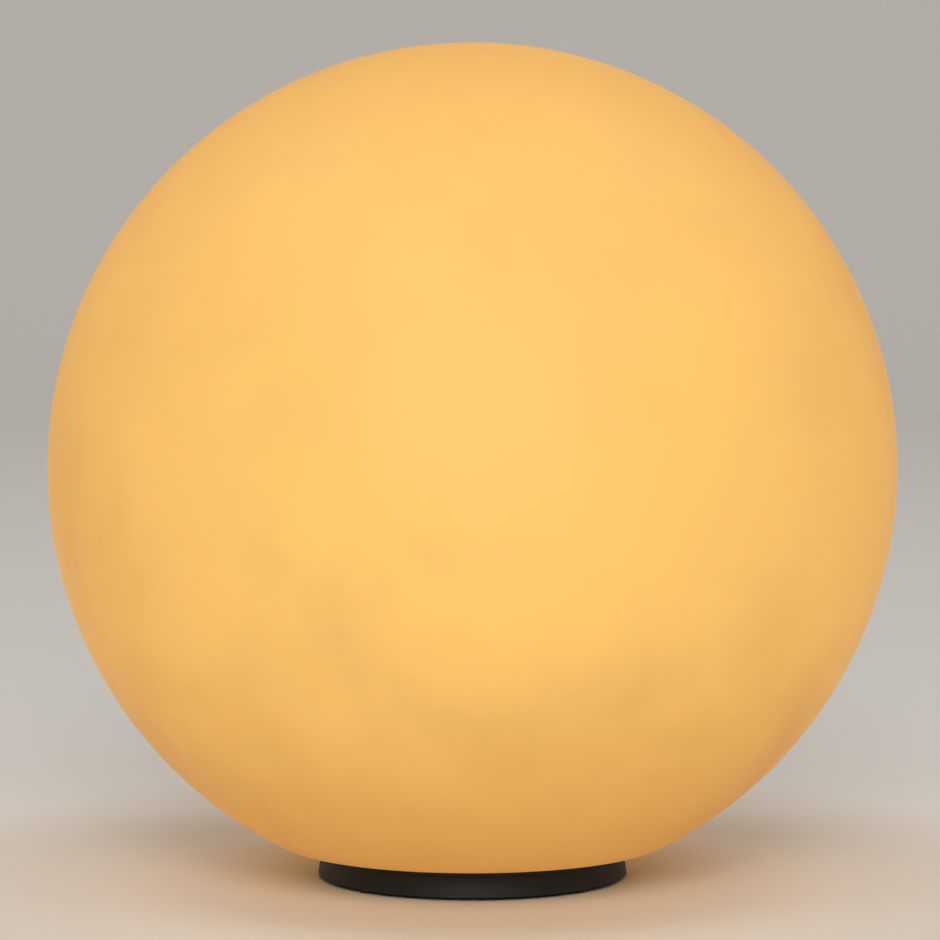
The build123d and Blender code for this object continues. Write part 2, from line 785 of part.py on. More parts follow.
def filament_supports():
    """Wires that carry the sticks: a star below, and a mast with a star above."""
    low_z = stem_z + stem_height - 4.0 - support_radius - 0.05
    high_z = low_z + filament_length + 2 * support_radius + 0.1
    mast_z = stem_z + stem_height
    mast = rod(support_radius, mast_z + 0.02, high_z + support_radius)
    for i in range(filament_count):
        low, high = filament_ends(i)
        mast += bar_between(Vector(0, 0, high_z), Vector(high.X, high.Y, high_z), support_radius)
    collar = pipe(stem_radius * 1.15 + 0.6, stem_radius * 0.95, low_z - 0.6, low_z + 0.4)
    for i in range(filament_count):
        low, high = filament_ends(i)
        start = Vector(low.X, low.Y, 0).normalized() * (stem_radius + 0.9)
        collar += bar_between(
            Vector(start.X, start.Y, low_z), Vector(low.X, low.Y, low_z), support_radius
        )
    return Compound(children=[mast, collar])


def lamp_driver():
    """The small round board in the cap with its capacitor and coil."""
    low = tip_z + lamp_skirt_height + 5.0
    board = rod(lamp_thread_radius - lamp_cap_wall - driver_gap, low, low + 1.2)
    board += rod(3.2, low + 1.2, low + 9.5, -3.4, 0)
    board += rod(2.2, low + 1.2, low + 6.0, 4.0, 2.8)
    return board + block(2.0, 6.5, -5.0, -1.0, low - 1.6, low)


# ---------------------------------------------------------------- wiring

def terminal_block():
    """A two-pole block hung from its post, with a screw tower over each end of a pole."""
    front = -block_back - block_depth / 2
    back = -block_back + block_depth / 2
    half = block_width / 2
    wall = block_pole_radius + 1.2
    tower = block_screw_radius + 1.1
    seat_front, seat_back = -block_back - 3, -block_back + 3
    seat_z = block_z + screw_head_height
    body = block(-half, half, front + 2, back - 2, clamp_z + 1, block_top_z)
    body += block(-block_pole_spread, block_pole_spread, seat_front, seat_back, seat_z, clamp_z + 2)
    poles = (-block_pole_spread, block_pole_spread)
    for x in poles:
        body += block(x - wall, x + wall, front, back, clamp_z - wall, clamp_z + wall)
        body += block(x - tower, x + tower, front + 1, back - 1, block_z, clamp_z)
    body -= block(-tower, tower, seat_front, seat_back, block_z - 1, seat_z)
    for x in poles:
        body -= Pos(x, 0, 0) * rearward(Circle(block_pole_radius - 0.5), front - 1, back + 1, clamp_z)
        for y in (-block_screw_spread, block_screw_spread):
            body -= rod(block_screw_radius + 0.1, block_z - 1, clamp_z, x, -block_back + y)
    return body - rod(screw_radius + 0.2, block_z - 1, block_top_z + 1, 0, -block_back)


def terminal_clamps():
    """Two brass tubes in the block, one for each pole."""
    front = -block_back - block_depth / 2 + 1
    back = -block_back + block_depth / 2 - 1
    ring = Circle(block_pole_radius - 0.55) - Circle(clamp_bore)
    tubes = []
    for side in (-1, 1):
        tubes.append(Pos(side * block_pole_spread, 0, 0) * rearward(ring, front, back, clamp_z))
    return Compound(children=tubes)


def terminal_screws():
    """Four grub screws that press on the clamps."""
    one = rod(block_screw_radius, block_z + 1, clamp_z - block_pole_radius + 0.5)
    screws = []
    for side in (-1, 1):
        for y in (-block_screw_spread, block_screw_spread):
            screws.append(Pos(side * block_pole_spread, -block_back + y, 0) * one)
    return Compound(children=screws)


def block_screw():
    """The screw that holds the block on its post."""
    length = block_height + 3.5
    return Pos(0, -block_back, block_z) * screw(length, screw_head_radius - 0.6)


def wire(side):
    """One inner wire: out of the block, up the nipple and out to its holder terminal."""
    mouth_y = -block_back + block_depth / 2
    top = core_z + terminal_depth - 2.8
    points = [
        (side * block_pole_spread, mouth_y - 3.0, clamp_z),
        (side * block_pole_spread, mouth_y + 4.0, clamp_z),
        (side * (wire_spread + 1.0), -5.0, clamp_z + 1.0),
        (side * wire_spread, 0.0, clamp_z + 8.0),
        (side * wire_spread, 0.2, tower_z + nipple_above + 1.0),
        (side * terminal_spread, 0.0, core_z - 3.0),
        (side * terminal_spread, 0.0, top),
    ]
    corners = [Vector(*p) for p in points]
    bends = []
    for before, corner, after in zip(corners, corners[1:], corners[2:]):
        turn = (corner - before).get_angle(after - corner)
        run = min((corner - before).length, (after - corner).length)
        bends.append(0.45 * run / tan(radians(turn) / 2))
    print("wire bends, mm:", [round(b, 1) for b in bends])
    path = FilletPolyline(*points, radius=bends)
    start = Plane(origin=path @ 0, z_dir=path % 0)
    body = sweep(start * Circle(wire_radius), path=path)
    print("wire volume against section times length:",
          round(body.volume / (3.14159265 * wire_radius ** 2 * path.length), 4))
    return body


nodes = {
    "globe_shade": globe_shade,
    "globe_seal": globe_seal,
    "base_housing": base_housing,
    "foot_ring": foot_ring,
    "foot_screws": foot_screws,
    "cord_box": cord_box,
    "cord_box_screws": cord_box_screws,
    "rubber_feet": rubber_feet,
    "base_cover": base_cover,
    "cover_gasket": cover_gasket,
    "cover_screws": cover_screws,
    "gland_body": gland_body,
    "gland_washer": gland_washer,
    "gland_seal": gland_seal,
    "gland_nut": gland_nut,
    "gland_locknut": gland_locknut,
    "holder_nipple": holder_nipple,
    "nipple_washer": nipple_washer,
    "nipple_nut": nipple_nut,
    "holder_cap": holder_cap,
    "holder_shell": holder_shell,
    "mouth_seal": mouth_seal,
    "holder_core": holder_core,
    "screw_shell": screw_shell,
    "centre_contact": centre_contact,
    "side_contact": side_contact,
    "holder_terminal_screws": holder_terminal_screws,
    "lamp_tip": lamp_tip,
    "lamp_insulator": lamp_insulator,
    "lamp_cap": lamp_cap,
    "bulb_glass": bulb_glass,
    "bulb_stem": bulb_stem,
    "lamp_filaments": lamp_filaments,
    "filament_supports": filament_supports,
    "lamp_driver": lamp_driver,
    "terminal_block": terminal_block,
    "terminal_clamps": terminal_clamps,
    "terminal_screws": terminal_screws,
    "block_screw": block_screw,
}

for name, make in nodes.items():
    save(make(), name)
save(wire(-1), "wire_brown")
save(wire(1), "wire_blue")
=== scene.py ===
import json
from math import atan2, cos, pi, radians, sin, sqrt, tau

import bmesh
import bpy
from mathutils import Matrix, Vector


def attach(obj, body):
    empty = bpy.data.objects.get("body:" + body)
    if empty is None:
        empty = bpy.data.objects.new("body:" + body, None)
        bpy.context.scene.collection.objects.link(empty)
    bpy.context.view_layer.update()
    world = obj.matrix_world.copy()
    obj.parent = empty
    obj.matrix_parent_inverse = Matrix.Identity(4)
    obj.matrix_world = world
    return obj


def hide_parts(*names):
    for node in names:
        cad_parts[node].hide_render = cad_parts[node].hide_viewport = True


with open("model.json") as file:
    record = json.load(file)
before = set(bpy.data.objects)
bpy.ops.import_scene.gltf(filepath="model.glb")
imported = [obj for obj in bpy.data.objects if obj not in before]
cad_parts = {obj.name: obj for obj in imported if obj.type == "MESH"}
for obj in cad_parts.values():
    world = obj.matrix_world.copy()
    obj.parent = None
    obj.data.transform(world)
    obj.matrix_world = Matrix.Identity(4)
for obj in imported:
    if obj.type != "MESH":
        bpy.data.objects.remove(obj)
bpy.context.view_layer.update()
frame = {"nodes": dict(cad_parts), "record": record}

# A garden globe light: an opal ball, lit warm from inside, on a low black foot.
# Sizes are given in millimetres and made metres by MM.
MM = 0.001
TINY = 0.000001          # in metres: points nearer than this are one

GLOBE_CENTRE = 145.8     # height of the ball's centre
GLOBE_RADIUS = 150.0
FLAT = 11.5              # height of the ball's flat underside
TIP = 63.5               # height of the lamp's tip
STEM_FOOT = TIP + 25.0   # where the glass stem flares out in the bulb's neck
STEM_LENGTH = 27.0
HOLDER_TOP = 88.5
THREAD_PITCH = 3.62      # of a standard lamp cap
ROWS_PER_TURN = 7        # rows of points to one turn of a screw's thread
ROW_GAP = 0.28           # between the rows of the lamp's thread
BLOCK_Y = -27            # place of the terminal block, in front of the middle
GLAND_LINE = 13.6        # height of the line along which the cord gland lies
GLAND_PITCH = 1.5
GLAND_DEPTH = 0.28       # of the gland's thread

DUST = (0.34, 0.30, 0.24, 1)


# ------------------------------------------------------------------ camera, floor and light

def photo_camera():
    """The camera stands some way off, a little above the ball, with a long lens. Its shift
    puts the ball just off the middle of the picture."""
    away, tilt = 1.5, radians(4.21)
    centre = Vector((0, 0, GLOBE_CENTRE * MM))
    camera = bpy.data.objects.new("photo_camera", bpy.data.cameras.new("photo_camera"))
    bpy.context.scene.collection.objects.link(camera)
    camera.location = centre + Vector((0, -away * cos(tilt), away * sin(tilt)))
    camera.rotation_euler = (pi / 2 - tilt, 0, 0)
    camera.data.sensor_width = 36
    camera.data.lens = 162
    camera.data.shift_x = -0.00255
    camera.data.shift_y = -0.00266
    camera.data.clip_start = 0.01
    camera.data.clip_end = 50
    bpy.context.scene.camera = camera


def soft_box(name, place, size, power, colour, towards=(0, 0, 0.14), spread=180):
    """A square area light turned towards the ball, or towards another point."""
    light = bpy.data.lights.new(name, "AREA")
    light.shape = "SQUARE"
    light.size = size
    light.energy = power
    light.color = colour
    light.spread = radians(spread)
    lamp = bpy.data.objects.new(name, light)
    bpy.context.scene.collection.objects.link(lamp)
    lamp.location = place
    aim = Vector(towards) - Vector(place)
    lamp.rotation_euler = aim.to_track_quat("-Z", "Y").to_euler()
    lamp.visible_camera = False


def studio():
    """A pale round floor that sweeps up into its own backdrop, and soft light."""
    flat, sweep, wall, steps = 2.6, 1.4, 1.2, 10
    deselect()
    bpy.ops.mesh.primitive_circle_add(vertices=96, radius=flat, fill_type="NGON")
    floor = bpy.context.object
    floor.name = "studio_floor"
    bpy.ops.object.mode_set(mode="EDIT")
    bpy.ops.mesh.select_mode(type="EDGE")
    bpy.ops.mesh.select_all(action="SELECT")
    bpy.ops.mesh.region_to_loop()
    reach, climb = flat, 0.0
    for i in range(1, steps + 1):
        turn = radians(90 / steps * i)
        out, up = flat + sweep * sin(turn), sweep * (1 - cos(turn))
        bpy.ops.mesh.extrude_edges_move(TRANSFORM_OT_translate={"value": (0, 0, up - climb)})
        bpy.ops.transform.resize(value=(out / reach, out / reach, 1))
        reach, climb = out, up
    bpy.ops.mesh.extrude_edges_move(TRANSFORM_OT_translate={"value": (0, 0, wall)})
    bpy.ops.mesh.select_all(action="SELECT")
    bpy.ops.mesh.normals_make_consistent(inside=True)
    bpy.ops.object.mode_set(mode="OBJECT")
    bpy.ops.object.shade_smooth_by_angle(angle=radians(40))
    floor.data.materials.append(plain_stage())
    world = bpy.data.worlds.new("studio_air")
    world.use_nodes = True
    air = world.node_tree.nodes["Background"]
    air.inputs["Color"].default_value = (1.0, 0.98, 0.95, 1)
    air.inputs["Strength"].default_value = 0.22
    bpy.context.scene.world = world
    soft_box("front_soft_box", (0.0, -2.2, 1.25), size=1.2, power=4.2,
             colour=(1.0, 0.97, 0.92), spread=60)
    # these hang high and face away from the globe, to brighten the backdrop all round
    for name, place, towards in (("left_wall_light", (-1.5, 0.6, 2.6), (-1.2, 3.4, 0.0)),
                                 ("right_wall_light", (1.5, 0.6, 2.6), (1.2, 3.4, 0.0)),
                                 ("rear_wall_light", (0, -0.8, 2.6), (0, -3.6, 0.0))):
        soft_box(name, place, size=1.6, power=20, colour=(1.0, 0.98, 0.96), towards=towards)


def plain_stage():
    """The floor's matt pale paint."""
    paint = bpy.data.materials.new("pale_floor")
    paint.use_nodes = True
    shader = paint.node_tree.nodes["Principled BSDF"]
    shader.inputs["Base Color"].default_value = (0.80, 0.78, 0.75, 1)
    shader.inputs["Roughness"].default_value = 0.75
    return paint


# ------------------------------------------------------------------ node helpers

def deselect():
    """Leaves edit mode and selects nothing."""
    if bpy.context.object and bpy.context.object.mode != "OBJECT":
        bpy.ops.object.mode_set(mode="OBJECT")
    bpy.ops.object.select_all(action="DESELECT")


def feed(tree, socket, value):
    """Links a socket into another, or sets it to a plain number or colour."""
    if isinstance(value, bpy.types.NodeSocket):
        tree.links.new(value, socket)
    elif value is not None:
        socket.default_value = value


def calc(tree, operation, *values, clamp=False):
    """One Math node; returns what it puts out."""
    node = tree.nodes.new("ShaderNodeMath")
    node.operation = operation
    node.use_clamp = clamp
    for socket, value in zip(node.inputs, values):
        feed(tree, socket, value)
    return node.outputs[0]


def span(tree, value, low, high, to_low=0.0, to_high=1.0):
    """A smooth step: to_low where the value is low, to_high where it is high."""
    node = tree.nodes.new("ShaderNodeMapRange")
    node.interpolation_type = "SMOOTHSTEP"
    for socket, setting in zip(node.inputs, (value, low, high, to_low, to_high)):
        feed(tree, socket, setting)
    return node.outputs["Result"]


def tint(tree, factor, first, second):
    """Mixes two colours."""
    node = tree.nodes.new("ShaderNodeMix")
    node.data_type = "RGBA"
    feed(tree, node.inputs[0], factor)
    feed(tree, node.inputs[6], first)
    feed(tree, node.inputs[7], second)
    return node.outputs[2]


def noise(tree, where, scale, detail=3.0, roughness=0.55, distortion=0.0):
    """A cloudy pattern from 0 to 1; scale is in clouds per unit of the point."""
    node = tree.nodes.new("ShaderNodeTexNoise")
    for name, value in (("Vector", where), ("Scale", scale), ("Detail", detail),
                        ("Roughness", roughness), ("Distortion", distortion)):
        feed(tree, node.inputs[name], value)
    return node.outputs[0]


def object_place(tree):
    """The point on the piece, in its own metres."""
    return tree.nodes.new("ShaderNodeTexCoord").outputs["Object"]


def stretched(tree, where, scale, place=(0, 0, 0), turn=(0, 0, 0)):
    """The same point moved, turned and stretched, so that a pattern runs along one way."""
    node = tree.nodes.new("ShaderNodeMapping")
    feed(tree, node.inputs["Vector"], where)
    node.inputs["Location"].default_value = place
    node.inputs["Rotation"].default_value = turn
    node.inputs["Scale"].default_value = scale
    return node.outputs[0]


def effect(name, inputs, outputs):
    """An empty node group; its sockets are numbers, apart from one named Normal. Returns its
    tree, what it is given and what it puts out."""
    tree = bpy.data.node_groups.new(name, "ShaderNodeTree")
    for label, value in inputs.items():
        socket = tree.interface.new_socket(label, in_out="INPUT", socket_type="NodeSocketFloat")
        socket.default_value = value
    for label in outputs:
        kind = "NodeSocketVector" if label == "Normal" else "NodeSocketFloat"
        tree.interface.new_socket(label, in_out="OUTPUT", socket_type=kind)
    return tree, tree.nodes.new("NodeGroupInput").outputs, tree.nodes.new("NodeGroupOutput").inputs


def use(tree, group, **settings):
    """Places an effect in a material and returns its outputs."""
    node = tree.nodes.new("ShaderNodeGroup")
    node.node_tree = bpy.data.node_groups[group]
    for label, value in settings.items():
        feed(tree, node.inputs[label.replace("_", " ")], value)
    return node.outputs


# ------------------------------------------------------------------ shared effects

def make_moulded_grain():
    """The fine texture of a mould's wall, and a slow change of tone over the moulding."""
    tree, given, out = effect(
        "moulded_grain", {"Grains per metre": 1600.0, "Patches per metre": 30.0},
        ("Height", "Gloss change", "Tone"))
    where = object_place(tree)
    fine = noise(tree, where, given["Grains per metre"], 2.0, 0.6)
    cells = tree.nodes.new("ShaderNodeTexVoronoi")
    feed(tree, cells.inputs["Vector"], where)
    feed(tree, cells.inputs["Scale"], calc(tree, "MULTIPLY", given["Grains per metre"], 0.45))
    feed(tree, out["Height"], calc(tree, "MULTIPLY_ADD", cells.outputs["Distance"], 0.6, fine))
    slow = noise(tree, where, given["Patches per metre"], 4.0, 0.6)
    feed(tree, out["Gloss change"], calc(tree, "SUBTRACT", slow, 0.5))
    feed(tree, out["Tone"], slow)


def make_worn_edges():
    """A mask of the outer edges, broken up where a hand or a tool has rubbed them."""
    tree, given, out = effect(
        "worn_edges", {"Width": 0.0005, "Amount": 0.5, "Breaks per metre": 260.0}, ("Mask", "Normal"))
    rounded = tree.nodes.new("ShaderNodeBevel")
    rounded.samples = 4
    feed(tree, rounded.inputs["Radius"], given["Width"])
    true = tree.nodes.new("ShaderNodeNewGeometry").outputs["Normal"]
    dot = tree.nodes.new("ShaderNodeVectorMath")
    dot.operation = "DOT_PRODUCT"
    feed(tree, dot.inputs[0], rounded.outputs[0])
    feed(tree, dot.inputs[1], true)
    bend = calc(tree, "SUBTRACT", 1.0, dot.outputs["Value"])
    patchy = noise(tree, object_place(tree), given["Breaks per metre"], 5.0, 0.7)
    rubbed = calc(tree, "MULTIPLY", span(tree, bend, 0.02, 0.25), span(tree, patchy, 0.38, 0.62))
    feed(tree, out["Mask"], calc(tree, "MULTIPLY", rubbed, given["Amount"], clamp=True))
    feed(tree, out["Normal"], rounded.outputs[0])


def make_settled_dust():
    """A mask of dust and dried splashes that lie on what faces up."""
    tree, given, out = effect("settled_dust", {"Amount": 0.3, "Specks per metre": 700.0}, ("Mask",))
    faces = tree.nodes.new("ShaderNodeSeparateXYZ")
    feed(tree, faces.inputs[0], tree.nodes.new("ShaderNodeNewGeometry").outputs["Normal"])
    where = object_place(tree)
    up = span(tree, faces.outputs["Z"], 0.2, 0.95)
    film = span(tree, noise(tree, where, 60.0, 5.0, 0.65), 0.35, 0.75)
    specks = span(tree, noise(tree, where, given["Specks per metre"], 2.0, 0.5), 0.66, 0.72)
    lying = calc(tree, "MULTIPLY", up, calc(tree, "MULTIPLY_ADD", specks, 0.6, film), clamp=True)
    feed(tree, out["Mask"], calc(tree, "MULTIPLY", lying, given["Amount"], clamp=True))


def make_fine_scratches():
    """A mask of hair scratches in two directions."""
    tree, given, out = effect("fine_scratches", {"Scratches per metre": 500.0}, ("Mask",))
    where = object_place(tree)
    marks = []
    for stretch, turn in (((0.05, 1.0, 0.7), (0.3, 0.2, 0.6)),
                          ((1.0, 0.05, 0.6), (-0.2, 0.4, 0.25))):
        lines = noise(tree, stretched(tree, where, stretch, turn=turn),
                      given["Scratches per metre"], 1.0, 0.5, 0.25)
        marks.append(span(tree, lines, 0.70, 0.74))
    gate = span(tree, noise(tree, where, 45.0, 2.0), 0.50, 0.66)
    feed(tree, out["Mask"], calc(tree, "MULTIPLY", calc(tree, "MAXIMUM", *marks), gate))


def make_tarnish():
    """A mask of the slow spotty darkening of bare or plated metal."""
    tree, given, out = effect("tarnish", {"Spots per metre": 180.0, "Amount": 0.4}, ("Mask",))
    where = object_place(tree)
    broad = noise(tree, where, given["Spots per metre"], 6.0, 0.65, 0.6)
    pits = noise(tree, where, calc(tree, "MULTIPLY", given["Spots per metre"], 7.0), 2.0)
    both = calc(tree, "MULTIPLY_ADD", span(tree, pits, 0.62, 0.72), 0.5, span(tree, broad, 0.42, 0.7))
    feed(tree, out["Mask"], calc(tree, "MULTIPLY", both, given["Amount"], clamp=True))


for make_effect in (make_moulded_grain, make_worn_edges, make_settled_dust,
                    make_fine_scratches, make_tarnish):
    make_effect()


# ------------------------------------------------------------------ materials

def new_material(name):
    """Returns a new material, its node tree and its shader."""
    material = bpy.data.materials.new(name)
    material.use_nodes = True
    return material, material.node_tree, material.node_tree.nodes["Principled BSDF"]


def opaque(colour):
    return (*colour, 1.0)


def bump(tree, height, depth, beneath=None):
    """Normals that follow a height; depth is in metres, beneath is the normal it starts from."""
    node = tree.nodes.new("ShaderNodeBump")
    feed(tree, node.inputs["Height"], height)
    feed(tree, node.inputs["Distance"], depth)
    feed(tree, node.inputs["Normal"], beneath)
    return node.outputs[0]


def moulding(name, colour, roughness, grains=1600.0, depth=0.00003, tone=0.25, worn=None,
             edge=0.0004, wear=0.5, dust=0.10, scratches=0.3, **plain):
    """A moulded or sintered finish: grain, slow tone, rubbed edges, dust and hair scratches.
    What is left over in plain is set on the shader's sockets of those names."""
    material, tree, shader = new_material(name)
    worn = opaque(worn or [min(1.0, c * 1.8 + 0.03) for c in colour])
    grain = use(tree, "moulded_grain", Grains_per_metre=grains)
    edges = use(tree, "worn_edges", Width=edge, Amount=wear)
    rubbed = edges["Mask"]
    lying = use(tree, "settled_dust", Amount=dust)["Mask"]
    marks = use(tree, "fine_scratches")["Mask"]
    darker = opaque([c * (1 - tone) for c in colour])
    lighter = opaque([min(1.0, c * (1 + tone)) for c in colour])
    body = tint(tree, grain["Tone"], darker, lighter)
    body = tint(tree, rubbed, body, worn)
    body = tint(tree, calc(tree, "MULTIPLY", marks, scratches * 0.6), body, worn)
    feed(tree, shader.inputs["Base Color"], tint(tree, lying, body, DUST))
    rough = calc(tree, "MULTIPLY_ADD", grain["Gloss change"], 0.18, roughness)
    rough = calc(tree, "MULTIPLY_ADD", marks, 0.12 * scratches, rough)
    rough = calc(tree, "MULTIPLY_ADD", rubbed, -0.12, rough)
    feed(tree, shader.inputs["Roughness"], calc(tree, "MULTIPLY_ADD", lying, 0.3, rough, clamp=True))
    height = calc(tree, "MULTIPLY_ADD", marks, -0.5 * scratches, grain["Height"])
    feed(tree, shader.inputs["Normal"], bump(tree, height, depth, beneath=edges["Normal"]))
    for label, value in plain.items():
        shader.inputs[label.replace("_", " ")].default_value = value
    return material


def metal(name, colour, roughness, dull, tarnished=0.4):
    """A turned, drawn or plated metal: fine tool lines, tarnish, brighter rubbed edges."""
    tool_lines, depth = 2600.0, 0.000006
    material, tree, shader = new_material(name)
    along = stretched(tree, object_place(tree), (1.0, 1.0, 0.06))
    turning = noise(tree, along, tool_lines, 3.0, 0.6)
    spots = use(tree, "tarnish", Amount=tarnished)["Mask"]
    edges = use(tree, "worn_edges", Width=0.0002, Amount=0.6)
    lying = use(tree, "settled_dust", Amount=0.1)["Mask"]
    marks = use(tree, "fine_scratches", Scratches_per_metre=900.0)["Mask"]
    body = tint(tree, turning, opaque([c * 0.86 for c in colour]), opaque(colour))
    body = tint(tree, spots, body, opaque(dull))
    body = tint(tree, edges["Mask"], body, opaque([min(1.0, c * 1.15) for c in colour]))
    feed(tree, shader.inputs["Base Color"], tint(tree, lying, body, DUST))
    feed(tree, shader.inputs["Metallic"], calc(tree, "MULTIPLY_ADD", lying, -0.8, 1.0, clamp=True))
    rough = calc(tree, "MULTIPLY_ADD", turning, 0.16, roughness - 0.06)
    rough = calc(tree, "MULTIPLY_ADD", spots, 0.28, rough)
    rough = calc(tree, "MULTIPLY_ADD", marks, 0.1, rough)
    feed(tree, shader.inputs["Roughness"], calc(tree, "MULTIPLY_ADD", lying, 0.4, rough, clamp=True))
    height = calc(tree, "MULTIPLY_ADD", marks, -0.4, turning)
    feed(tree, shader.inputs["Normal"], bump(tree, height, depth, beneath=edges["Normal"]))
    return material


def lit_opal():
    """Opal plastic lit by the lamp inside: even and amber, dimmer low down where the holder
    and the foot stand in the way, with the faint marks of the mould and of the lamp. Its
    patterns are laid out in the ball's own measure: 0 at its centre, 1 at its skin."""
    material, tree, shader = new_material("lit_opal_plastic")
    where = object_place(tree)
    radius = GLOBE_RADIUS * MM
    ball = stretched(tree, where, (1 / radius,) * 3, (0, 0, -GLOBE_CENTRE * MM / radius))
    parts = tree.nodes.new("ShaderNodeSeparateXYZ")
    feed(tree, parts.inputs[0], ball)
    height = parts.outputs["Z"]

    # how far below the centre the belt of light lies, and the clouds are strongest
    belt_drop, cloud_drop = 0.17, 0.15
    # painted shade in the lamp's glow: dimmer low down, where the holder and the foot stand in the
    # way, and a little dimmer at the very top
    low = span(tree, height, -1.0, -0.2, 0.76, 1.0)
    high = span(tree, height, 0.35, 1.0, 1.0, 0.95)
    light = calc(tree, "MULTIPLY", low, high)
    # the brighter patches of the belt where the lamp is nearest
    from_belt = calc(tree, "ABSOLUTE", calc(tree, "ADD", height, belt_drop))
    belt = span(tree, from_belt, 0.02, 0.48, 1.0, 0.0)
    patch = noise(tree, stretched(tree, ball, (1.5, 1.5, 1.9), (0.1, 0.35, 0.6)), 1.0, 4.0, 0.58, 0.5)
    patch = calc(tree, "MULTIPLY", belt, span(tree, patch, 0.40, 0.60, 0.35, 1.0))
    light = calc(tree, "MULTIPLY", light, calc(tree, "MULTIPLY_ADD", patch, 0.17, 1.0))
    # the crown of faint rays where light leaves the lamp past its holder
    rays = noise(tree, stretched(tree, ball, (3.4, 3.4, 1.0), (0.35, 0, 0)), 1.0, 4.0, 0.62, 0.6)
    ragged = calc(tree, "MULTIPLY_ADD", rays, 1.6, -0.88)
    crown = span(tree, calc(tree, "SUBTRACT", height, ragged), -0.34, 0.10, 0.90, 1.0)
    light = calc(tree, "MULTIPLY", light, crown)
    # painted cloudy patches of brighter and dimmer light in the glow, strongest near the lamp's
    # height
    cloud = noise(tree, stretched(tree, ball, (1.0, 1.0, 1.2), (0.3, 0.1, 0.2)), 1.9, 3.0, 0.55, 0.4)
    from_middle = calc(tree, "ABSOLUTE", calc(tree, "ADD", height, cloud_drop))
    strong = span(tree, from_middle, 0.15, 0.9, 0.75, 0.30)
    clouds = calc(tree, "MULTIPLY_ADD", calc(tree, "SUBTRACT", cloud, 0.5), strong, 1.0)
    light = calc(tree, "MULTIPLY", light, clouds)
    # faint upright streaks in the glow
    streaks = noise(tree, stretched(tree, ball, (9.0, 9.0, 1.2)), 1.0, 3.0, 0.6)
    light = calc(tree, "MULTIPLY", light, calc(tree, "MULTIPLY_ADD", streaks, 0.06, 0.97))

    # the colours of the plastic where least and most light comes through
    dim, full = (0.330, 0.140, 0.034, 1), (0.945, 0.590, 0.150, 1)
    glow = tint(tree, span(tree, light, 0.35, 1.12), dim, full)
    grain = use(tree, "moulded_grain", Grains_per_metre=900.0, Patches_per_metre=12.0)
    lying = use(tree, "settled_dust", Amount=0.10, Specks_per_metre=260.0)["Mask"]
    marks = use(tree, "fine_scratches", Scratches_per_metre=160.0)["Mask"]
    glow = tint(tree, calc(tree, "MULTIPLY", lying, 0.5), glow, (0.62, 0.36, 0.09, 1))
    feed(tree, shader.inputs["Emission Color"], glow)
    shader.inputs["Emission Strength"].default_value = 0.565
    # painted lamp light: the base colour is given the amber of the warm light inside, with the
    # mould's slow tone over it; the dust on it is warmed the same way
    skin = tint(tree, grain["Tone"], (0.595, 0.40, 0.125, 1), (0.65, 0.45, 0.145, 1))
    feed(tree, shader.inputs["Base Color"], tint(tree, lying, skin, (0.42, 0.30, 0.14, 1)))
    rough = calc(tree, "MULTIPLY_ADD", grain["Gloss change"], 0.14, 0.50)
    rough = calc(tree, "MULTIPLY_ADD", marks, 0.10, rough)
    feed(tree, shader.inputs["Roughness"], calc(tree, "MULTIPLY_ADD", lying, 0.25, rough, clamp=True))
    ripple = calc(tree, "MULTIPLY_ADD", noise(tree, where, 34.0, 2.0), 6.0, grain["Height"])
    feed(tree, shader.inputs["Normal"], bump(tree, ripple, 0.000025))
    shader.inputs["IOR"].default_value = 1.45
    shader.inputs["Specular IOR Level"].default_value = 0.15
    shader.inputs["Coat Weight"].default_value = 0.6
    shader.inputs["Coat Roughness"].default_value = 0.42
    shader.inputs["Coat IOR"].default_value = 1.15
    shader.inputs["Coat Tint"].default_value = (0.90, 0.74, 0.66, 1)
    return material


def clear_glass():
    """Blown glass with faint drawn lines and a trace of dust."""
    material, tree, shader = new_material("blown_glass")
    where = object_place(tree)
    drawn = noise(tree, stretched(tree, where, (1.0, 1.0, 0.1)), 90.0, 2.0)
    smear = span(tree, noise(tree, where, 40.0, 4.0, 0.6), 0.45, 0.8)
    feed(tree, shader.inputs["Roughness"], calc(tree, "MULTIPLY_ADD", smear, 0.06, 0.01))
    glass = tint(tree, smear, (0.97, 0.98, 0.98, 1), (0.90, 0.89, 0.86, 1))
    feed(tree, shader.inputs["Base Color"], glass)
    feed(tree, shader.inputs["Normal"], bump(tree, drawn, 0.00004))
    shader.inputs["Transmission Weight"].default_value = 1.0
    shader.inputs["IOR"].default_value = 1.30
    return material


def lit_filament():
    """The yellow phosphor coat of a light stick, grainy, lit all along."""
    material, tree, shader = new_material("lit_phosphor")
    beads = noise(tree, object_place(tree), 900.0, 2.0)
    coat = tint(tree, beads, (0.90, 0.52, 0.10, 1), (1.0, 0.72, 0.22, 1))
    light = tint(tree, beads, (1.0, 0.60, 0.20, 1), (1.0, 0.78, 0.38, 1))
    feed(tree, shader.inputs["Base Color"], coat)
    feed(tree, shader.inputs["Emission Color"], light)
    feed(tree, shader.inputs["Normal"], bump(tree, beads, 0.00008))
    shader.inputs["Emission Strength"].default_value = 9.0
    shader.inputs["Roughness"].default_value = 0.6
    return material


